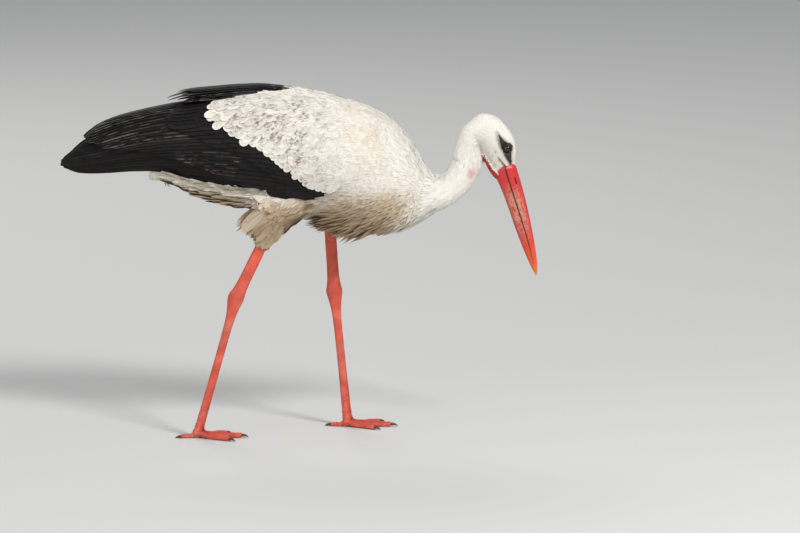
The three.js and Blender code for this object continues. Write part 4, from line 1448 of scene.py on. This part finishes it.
def wing_blades(side):
    """The feathers of one folded wing: primaries, secondaries, black coverts and the long scapulars above."""
    pick = np.random.default_rng(77 + side)
    lots = {"flight": [], "coverts": [], "scapulars": []}

    def lay(lot, start, end, level, half, **look):
        lots[lot].append(blade(side, start, end, level, half, **look))

    for degrees in np.arange(36, 137, 7.15):
        end = float(primary_end(degrees)) + pick.uniform(0, 7)
        start = float(flight_front(degrees)) - 12
        lay(
            "flight", (start, degrees), (end, degrees - 3 + pick.uniform(-1, 1)), lambda t: t - 11.5, 10.5,
            tilt=6, blunt=0.66, tone=pick.random(), worn=pick.uniform(0.0, 0.35), count=30,
        )
    for degrees in np.arange(4, 131, 5.0):
        end = float(secondary_end(degrees)) + pick.uniform(-2, 9)
        start = float(flight_front(degrees)) + 4
        if start - end < 40:
            continue
        if degrees < 70:
            worn = pick.uniform(0.45, 1.0)
        elif 88 < degrees < 120:
            # Painted glints: a stretch of pale edge on these lower secondaries, for light catching them.
            glint_strength = pick.uniform(0.5, 0.95)
            worn = lambda x: glint_strength * smooth(x, -250, -226) * smooth(x, -120, -142)
        else:
            worn = pick.uniform(0, 0.3)
        lay(
            "flight", (start, degrees), (end, degrees - 2.5 + pick.uniform(-0.8, 0.8)),
            lambda t: -2.6 + 1.6 * smooth(t, 0.0, 0.7), 9.8 if degrees > 22 else 8.5,
            tilt=7, blunt=0.9, tone=pick.random(), worn=worn,
        )
    for degrees in np.arange(22, 136, 5.4):
        edge = min(float(covert_end(degrees)), float(wing_front(degrees)) - 26)
        long = mix(60, 40, float(smooth(degrees, 60, 118)))
        lay(
            "coverts", (edge + 22, degrees - 0.6),
            (edge - long + pick.uniform(-4, 4), degrees - 1 + pick.uniform(-1, 1)),
            lambda t: 0.9 + 0.4 * np.sin(np.pi * t), 9.6,
            tilt=7, blunt=0.74, tone=pick.random(), worn=pick.uniform(0.0, 0.35), count=22,
        )
    for degrees in np.arange(24, 134, 5.6):
        edge = min(float(covert_end(degrees)), float(wing_front(degrees)) - 28)
        lay(
            "coverts", (edge + 24, degrees + 1.6),
            (edge - 21 + pick.uniform(-3, 3), degrees + 1.2 + pick.uniform(-1, 1)),
            lambda t: 2.3 + 0.3 * np.sin(np.pi * t), 8.6,
            tilt=7, blunt=0.7, tone=pick.random(), worn=0.15, count=16,
        )
    tops = profile((-256, 14), (-222, 18.5), (-170, 15), (-117, 9), (-78, 8))
    for layer, drop in ((0, 4.4), (1, 1.0)):
        for i, degrees in enumerate(np.arange(1.5 + 1.5 * layer, 22, 3.4)):
            end = -252 + 9 * (i % 3) + pick.uniform(-2, 6) + 14 * layer + max(0, degrees - 10) * 1.6
            start = float(mantle_end(degrees)) + 26
            share = mix(1, 0.72, float(smooth(degrees, 6, 20)))
            lay(
                "scapulars", (start, degrees - 1.2), (end, degrees + pick.uniform(-0.8, 0.8)),
                lambda t: tops(mix(start, end, t)) * share - drop - 2.2 * smooth(t, 0.25, 0), 6.4,
                tilt=5, blunt=0.72, tone=pick.random(), worn=pick.uniform(0.3, 1.0), count=24,
            )
    return lots


def wing_bed(side):
    """The dark webs under the flight feathers, which close the gaps between their blades."""
    bodies = []
    lots = (
        (2.0, 131.0, flight_front, lambda d: secondary_end(d) + 16, -4.6, 1.4),
        (34.0, 138.0, flight_front, lambda d: primary_end(d) + 22, -14.2, 1.6),
    )
    for first, last, front, rear, level, thick in lots:
        degrees = np.linspace(first, last, 60)
        rows = 40
        t = np.linspace(0, 1, rows)[:, None]
        x = mix(front(degrees)[None], rear(degrees)[None], t)
        edge = smooth(t, 0, 0.05) * smooth(t, 1, 0.93)
        rim = smooth(degrees, first, first + 3) * smooth(degrees, last, last - 3)
        half = 0.15 + 0.5 * thick * edge * rim[None]
        top = on_body(x, degrees[None], side, level + half)
        low = on_body(x, degrees[None], side, level - half)
        rings = np.concatenate([top, low[:, ::-1]], 1)
        bodies.append(closed(rings))
    return bodies


def tail_lines(feathers=12, stops=26):
    """The tail feathers, fanned a little, the middle ones on top."""
    lines = []
    t = np.linspace(0, 1, stops)
    middle = (feathers - 1) / 2
    for i in range(feathers):
        across = (i - middle) / middle
        x = mix(-152, -346 + 12 * across * across + 3 * (i % 2), t)
        y = across * (mix(15, 19, np.sqrt(t)) - 5.5)
        z = mix(409, 430, t) + 5.2 * (1 - across * across) - 5.4 - 0.9 * abs(across) + 0.25 * (i % 2)
        out = np.tile(unit(np.array([0, 0.28 * across, 1.0])), (stops, 1))
        half = 6.2 * tip_shape(t, 0.88)
        lines.append({"points": np.stack([x, y, z], 1), "out": out, "half": half, "tone": 0.5, "worn": 0 * t})
    return lines


# ------------------------------------------------------------------ the bird put together

upper = mandible("upper_half_of_bill", True, -14, "upper_bill")
lower = mandible("lower_half_of_bill", False, -22, "lower_bill")
upper.data.materials.append(bill_finish(True))
lower.data.materials.append(bill_finish(False))
wet_eye = eye_finish()
for name, side in SIDES.items():
    eyeball("eyeball_" + name, "eye_" + name, side).data.materials.append(wet_eye)
claw_horn = claw_finish()
for claws in claw_pieces():
    claws.data.materials.append(claw_horn)

skin = whole_skin()
unwrap(skin)
skin_points, skin_normals = points_of(skin.data), normals_of(skin.data)
skin_lie = lie_of(skin_points, skin_normals)
skin_paint, bare = skin_colour(skin_points)
store(skin.data, "skin_colour", skin_paint, "FLOAT_COLOR")
store(skin.data, "bare", bare)
skin.data.materials.clear()
skin.data.materials.append(skin_finish())

shapes = {key: vane(*feather) for key, feather in FEATHERS.items()}
white_vane = feather_finish("white contour feathers")
soft_vane = feather_finish("soft body feathers", shaft=1.12, root_grey_and_shade=0.8, barb=0.09, rough=0.9)
plume = feather_finish("breast plumes", shaft=1.05, root_grey_and_shade=0.42, barb=0.22, rough=0.88)


def coat(name, shape, finish, spacing, wildness, seed, fields, source=None, slot="white_feathers"):
    """One piece of the coat. The fields go with the skin's points or with roots, sizes in millimetres."""
    host = source or skin
    for key, values in fields.items():
        if key in ("long", "wide", "lift", "bend"):
            values = np.broadcast_to(np.asarray(values, float) / 1000, len(host.data.vertices))
        kind = {"lie": "FLOAT_VECTOR", "out": "FLOAT_VECTOR", "coat_colour": "FLOAT_COLOR"}.get(key, "FLOAT")
        store(host.data, key, values, kind)
    tree = coat_tree("lay " + name.replace("_", " "), scattered=source is None)
    wanted = dict(Spacing=spacing / 1000, Wildness=wildness, Seed=seed)
    piece = carried_out(name, host, tree, Skin=skin, Feather=shapes[shape], Finish=finish, **wanted)
    return kept_as(piece, slot)


x, y, z = skin_points.T
degrees, level = body_place(skin_points)
spine = along_spine(skin_points)
above = above_bare(skin_points)
on_leg = leg_skin_share(skin_points)
covered = 1 - np.maximum(bare, on_leg)
wing = wing_share(x, degrees)
head_share = smooth(spine, NAPE + 16, NAPE - 6)
trunk_share = smooth(spine, NECK_FOOT - 42, NECK_FOOT + 12)
neck_share = (1 - head_share) * (1 - trunk_share)
white_wing = wing * smooth(x, white_edge(degrees) + 4, white_edge(degrees) + 12)
shared = {"lie": skin_lie, "coat_colour": plumage_colour(skin_points), "fleck": flecks(skin_points)}

# The face and the neck: tiny feathers that grow longer towards the body.
to_nape, down_neck = smooth(spine, 20, 90), smooth(spine, 90, 230)
coat("coat_of_head", "tiny", white_vane, 1.08, 0.16, 11, shared | {
    "thick": covered * head_share,
    "long": 3.6 + 5.6 * smooth(spine, 16, 90), "wide": 1.6 + 0.9 * to_nape,
    "lift": 0.4 + 0.3 * to_nape, "bend": 0.5,
})
coat("coat_of_neck", "pair", white_vane, 2.1, 0.14, 12, shared | {
    "thick": covered * neck_share,
    "long": 11 + 12 * down_neck, "wide": 3.0 + 2.0 * down_neck, "lift": 0.7 + 0.5 * down_neck, "bend": 0.8,
})

# The body outside the folded wings.
breast = trunk_share * smooth(z, 398, 375) * smooth(x, -2, 26)
white_coverts = smooth(white_wing * smooth(degrees, 17, 20), 0.5, 1) * smooth(x, 24, 8)
coat("coat_of_shoulders", "pair", white_vane, 2.9, 0.14, 13, shared | {
    "thick": covered * (trunk_share * (1 - white_coverts) * (1 - breast)) * smooth(x, 8, 30),
    "long": 24, "wide": 6.5, "lift": 1.1, "bend": 0.9,
})
hanging = smooth(z, 352, 328) * smooth(x, 92, 58)
low_breast = smooth(z, 368, 330)
to_low = smooth(z, 385, 335)
coat("coat_of_breast", "lock", plume, 3.5, 0.28, 14, shared | {
    "thick": covered * breast * smooth(above, 14, 26),
    "long": mix(26, 44, to_low) + 16 * hanging, "wide": mix(6.0, 7.2, to_low),
    "lift": 2.4 + 12.0 * low_breast * mix(1, 0.16, smooth(x, 55, 100)) + 13 * hanging,
    "bend": 1.9 + 2.0 * low_breast,
})
out_of_wing = smooth(level, -13, -7) * smooth(degrees, 136, 141)
out_of_wing = np.maximum(out_of_wing, smooth(degrees, 124, 129) * smooth(x, -150, -130) * smooth(x, 14, 0))
hip_fold = np.exp(-(((x + 108) / 24) ** 2) - (((z - 370) / 15) ** 2))
under_tail = smooth(x, -128, -150) * smooth(degrees, 143, 148)
coat("coat_of_belly", "soft", soft_vane, 4.6, 0.22, 15, shared | {
    "thick": covered * trunk_share * (1 - wing * (1 - out_of_wing)) * (1 - breast) * smooth(x, 30, 8)
    * smooth(above, 9, 17) * (1 - 0.8 * under_tail),
    "long": mix(30, 38, smooth(x, -120, -240)) - 9 * smooth(above, 60, 14),
    "wide": 12 - 3 * smooth(above, 50, 14),
    "lift": 1.6 + 1.5 * smooth(z, 352, 318) * smooth(x, 0, -20) + 4.5 * hip_fold,
    "bend": 1.3 + 1.5 * hip_fold,
})
coat("coat_of_back", "rounded", white_vane, 4.6, 0.13, 16, shared | {
    "thick": covered * (white_wing * smooth(degrees, 22, 19)),
    "long": 34, "wide": 13, "lift": 1.0, "bend": 1.0,
})


def covert_roots(side):
    """Rows of white coverts from the white's rear edge forwards, rounded ones first, then scruffy ones."""
    pick = np.random.default_rng(5 + side)
    rounded, scruffy = [], []
    offset = 0.0
    while offset < 270:
        degrees_now = 20.6 + pick.uniform(0, 3)
        while degrees_now < 124:
            small = max(min((offset + 30) / 230, 1), 0.62 * float(smooth(degrees_now, 84, 114)))
            span, long = mix(12.5, 5.5, small), mix(33, 15, small)
            tip = float(covert_end(degrees_now)) + offset
            radius = float(reach(tip, degrees_now))
            lean = math.radians(mix(8, 40, float(smooth(degrees_now, 20, 75))) + 5 * pick.normal())
            ahead, down = math.cos(lean), math.degrees(math.sin(lean) / radius)
            at, around = tip + (long - 3) * ahead, degrees_now - (long - 3) * down
            if at < min(float(wing_front(around)) - 3, 26 + 7 * pick.normal()):
                here = on_body(at, around, side, 4.2)
                back = on_body(at - 22 * ahead, around + 22 * down, side, 4.6)
                away = on_body(at, around, side, 7.2)
                row = rounded if offset + 9 * pick.normal() < 34 else scruffy
                row.append((here, back - here, away - here, long, span * (1.36 if row is rounded else 1.6)))
            slope = float(covert_end(degrees_now + 1) - covert_end(degrees_now)) / math.radians(1)
            degrees_now += math.degrees(span / math.hypot(radius, slope)) * (1 + 0.05 * pick.normal())
        offset += mix(8.8, 4.6, min((offset + 30) / 230, 1))
    return rounded, scruffy


def laid_coat(name, shape, finish, wildness, seed, roots, lift, bend):
    """A piece of the coat from roots laid out one by one: place, lie, way out, length and width."""
    places, lies, outs, long, wide = (np.array(column) for column in zip(*roots))
    host = placed("roots", mesh_of("roots", to_model(places).tolist()))
    piece = coat(name, shape, finish, 1, wildness, seed, {
        "lie": unit(lies), "out": unit(outs), "coat_colour": plumage_colour(places), "fleck": flecks(places),
        "long": long, "wide": wide, "lift": lift, "bend": bend,
    }, source=host)
    bpy.data.objects.remove(host)
    return piece


def thigh_plumes(name):
    """Long soft feathers that fan out over the thigh, and back past it."""
    side, pick = SIDES[name], np.random.default_rng(61 + SIDES[name])
    knee, ankle, _ = leg_points(name)
    end, down = bare_point(name), unit(ankle - knee)
    rear = unit(np.cross((0, 1, 0), down))
    rear = rear if rear[0] < 0 else -rear
    roots = []
    for turn in np.linspace(0, 180, 13):
        angle = math.radians(turn)
        across, behind = math.cos(angle) * np.array([0, side, 0]), math.sin(angle) * rear
        for share in np.linspace(0, 1, 11):
            root = end - down * mix(48, 66, share) + rear * mix(-16, 16, share)
            root = root + across * mix(17, 20, share) + behind * 3 + pick.normal(size=3) * 2.0
            tip = end - down * mix(6, 13, share) + rear * mix(-7, 42, share)
            tip = tip + across * mix(7, 12, share) + behind * 2 + pick.normal(size=3) * 1.8
            lie = tip - root
            roots.append((root, lie, unit(across + behind), np.linalg.norm(lie), pick.uniform(13, 18)))
    return roots


def undertail_roots(side):
    """Big rounded feathers in rows under the rump."""
    pick = np.random.default_rng(91 + side)
    roots = []
    for row, (degrees, level) in enumerate(((147, -7), (154, -4), (161, -3), (168, -3), (176, -3))):
        for at in np.arange(-92 - 9 * (row % 2), -236, -17):
            root = on_body(at, degrees + pick.normal(), side, level)
            tip = on_body(at - 42, degrees + 1.5 + pick.normal(), side, level + 3.5)
            out = on_body(at - 10, degrees, side, 10.0) - on_body(at - 10, degrees, side, 0.0)
            roots.append((root, tip - root, out, 44 * pick.uniform(0.92, 1.08), 25 * pick.uniform(0.9, 1.1)))
    return roots


def hip_roots(side):
    """Soft feathers over the fold between the flank and the thigh, set apart at even distances."""
    near = (np.abs(x + 98) < 20) & (np.abs(z - 368) < 19) & (y * side > 15) & (degrees > 127)
    near = np.flatnonzero(near)
    np.random.default_rng(83 + side).shuffle(near)
    taken = []
    for i in near:
        if all(np.linalg.norm(skin_points[i] - skin_points[j]) > 4.6 for j in taken):
            taken.append(i)
    return [(skin_points[i], skin_lie[i], skin_normals[i], 19.0, 10.0) for i in taken]


for name, side in SIDES.items():
    rounded, scruffy = covert_roots(side)
    laid_coat("coat_of_wing_" + name, "covert", white_vane, 0.13, 20 + side, rounded, 0.6, 1.0)
    laid_coat("coat_of_upper_wing_" + name, "scruffy", white_vane, 0.16, 24 + side, scruffy, 0.5, 0.9)
beige_vane = feather_finish("beige undertail feathers", shaft=1.08, root_grey_and_shade=0.5, barb=0.1, rough=0.88)
for name, side in SIDES.items():
    plumes, under = thigh_plumes(name) + hip_roots(side), undertail_roots(side)
    laid_coat("plumes_of_thigh_" + name, "plume", soft_vane, 0.12, 40 + side, plumes, 1.5, 5.0)
    laid_coat("coat_under_tail_" + name, "covert", beige_vane, 0.12, 44 + side, under, 0.5, 2.5)

# Horny plates on the legs.
coat("scales_of_legs", "plate", scale_finish(), 1.55, 0.05, 31, {
    "lie": skin_lie, "coat_colour": skin_paint, "thick": on_leg * smooth(z, 2.6, 4.0),
    "long": 2.5, "wide": 2.5, "lift": 0.28, "bend": 0.5,
}, slot="leg_skin")

# Flight feathers.
section = blade_section("blade section")
sweep = blade_tree()
black_vane = black_feather_finish()
SOLIDS_OF = {"flight": ("secondaries_", "primaries_"), "scapulars": ("tertials_",), "coverts": ()}


def swept(name, lines, finish, slot, *nodes):
    """A piece of long feathers, swept along their shafts."""
    shafts = shaft_lines("shafts", lines)
    piece = carried_out(name, shafts, sweep, Section=section, Finish=finish)
    bpy.data.objects.remove(shafts)
    faced_outwards(piece)
    return kept_as(piece, slot, *nodes)


for name, side in SIDES.items():
    for part, lines in wing_blades(side).items():
        nodes = [node + name for node in SOLIDS_OF[part]]
        swept(f"{part}_of_{name}_wing", lines, black_vane, "black_feathers", *nodes)
    bed = make_piece(f"webs_of_{name}_wing", *joined(*wing_bed(side)))
    faced_outwards(bed)
    for key, value in (("along", 0.3), ("across", 0.4), ("tone", 0.5), ("worn", 0.0)):
        store(bed.data, key, np.full(len(bed.data.vertices), value))
    bed.data.materials.append(black_vane)
    kept_as(bed, "black_feathers")

tail_white = Paint("white tail feathers", Base_Color=(*(WHITE * 0.95), 1)).material
swept("tail_feathers", tail_lines(), tail_white, "white_feathers", "tail")

for shape in [*shapes.values(), section]:
    bpy.data.objects.remove(shape)
FLESH = ("head", "neck", "trunk", "rump", "mantle", "coverts", "thigh", "shank", "ankle", "tarsus", "foot")
kept_as(skin, "leg_skin", *[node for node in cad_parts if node.split("_")[0] in FLESH])


# ------------------------------------------------------------------ floor, lights and camera


def set_the_stage():
    corners = [(-30, -14, 0), (30, -14, 0), (30, 40, 0), (-30, 40, 0)]
    ground = placed("studio_floor", mesh_of("studio floor", corners, faces=[(0, 1, 2, 3)]))
    ground.data.materials.append(Paint("pale floor", 0.9, Base_Color=(0.62, 0.62, 0.60, 1)).material)

    def lamp(name, size, power, place, aim):
        light = bpy.data.lights.new(name, "AREA")
        light.shape = "DISK"
        light.size, light.energy = size, power
        lit = placed(name, light)
        lit.location = place
        lit.rotation_euler = (Vector(aim) - Vector(place)).to_track_quat("-Z", "Y").to_euler()

    lamp("key light", 1.1, 150, (2.3, -2.6, 3.2), (0, 0, 0.35))
    lamp("fill light", 3.0, 40, (-2.6, -3.2, 1.8), (0, 0, 0.3))
    lamp("back light", 2.0, 45, (-1.2, 3.0, 2.8), (0, 0, 0.35))
    world = bpy.data.worlds.new("studio air")
    world.use_nodes = True
    sky = world.node_tree.nodes["Background"].inputs
    sky["Color"].default_value, sky["Strength"].default_value = (0.95, 0.97, 1.0, 1), 0.42
    bpy.context.scene.world = world
    bpy.context.scene.view_settings.view_transform = "Standard"

    lens = bpy.data.cameras.new("long lens")
    lens.sensor_width, lens.lens = 36, 348.4
    lens.clip_start, lens.clip_end = 0.5, 80
    camera = placed("camera", lens)
    aim, away, tilt = Vector((0.1576, 0, 0.2615)), 12.0, math.radians(10)
    camera.location = aim + Vector((0, -math.cos(tilt), math.sin(tilt))) * away
    camera.rotation_euler = (math.pi / 2 - tilt, 0, 0)
    bpy.context.scene.camera = camera


set_the_stage()
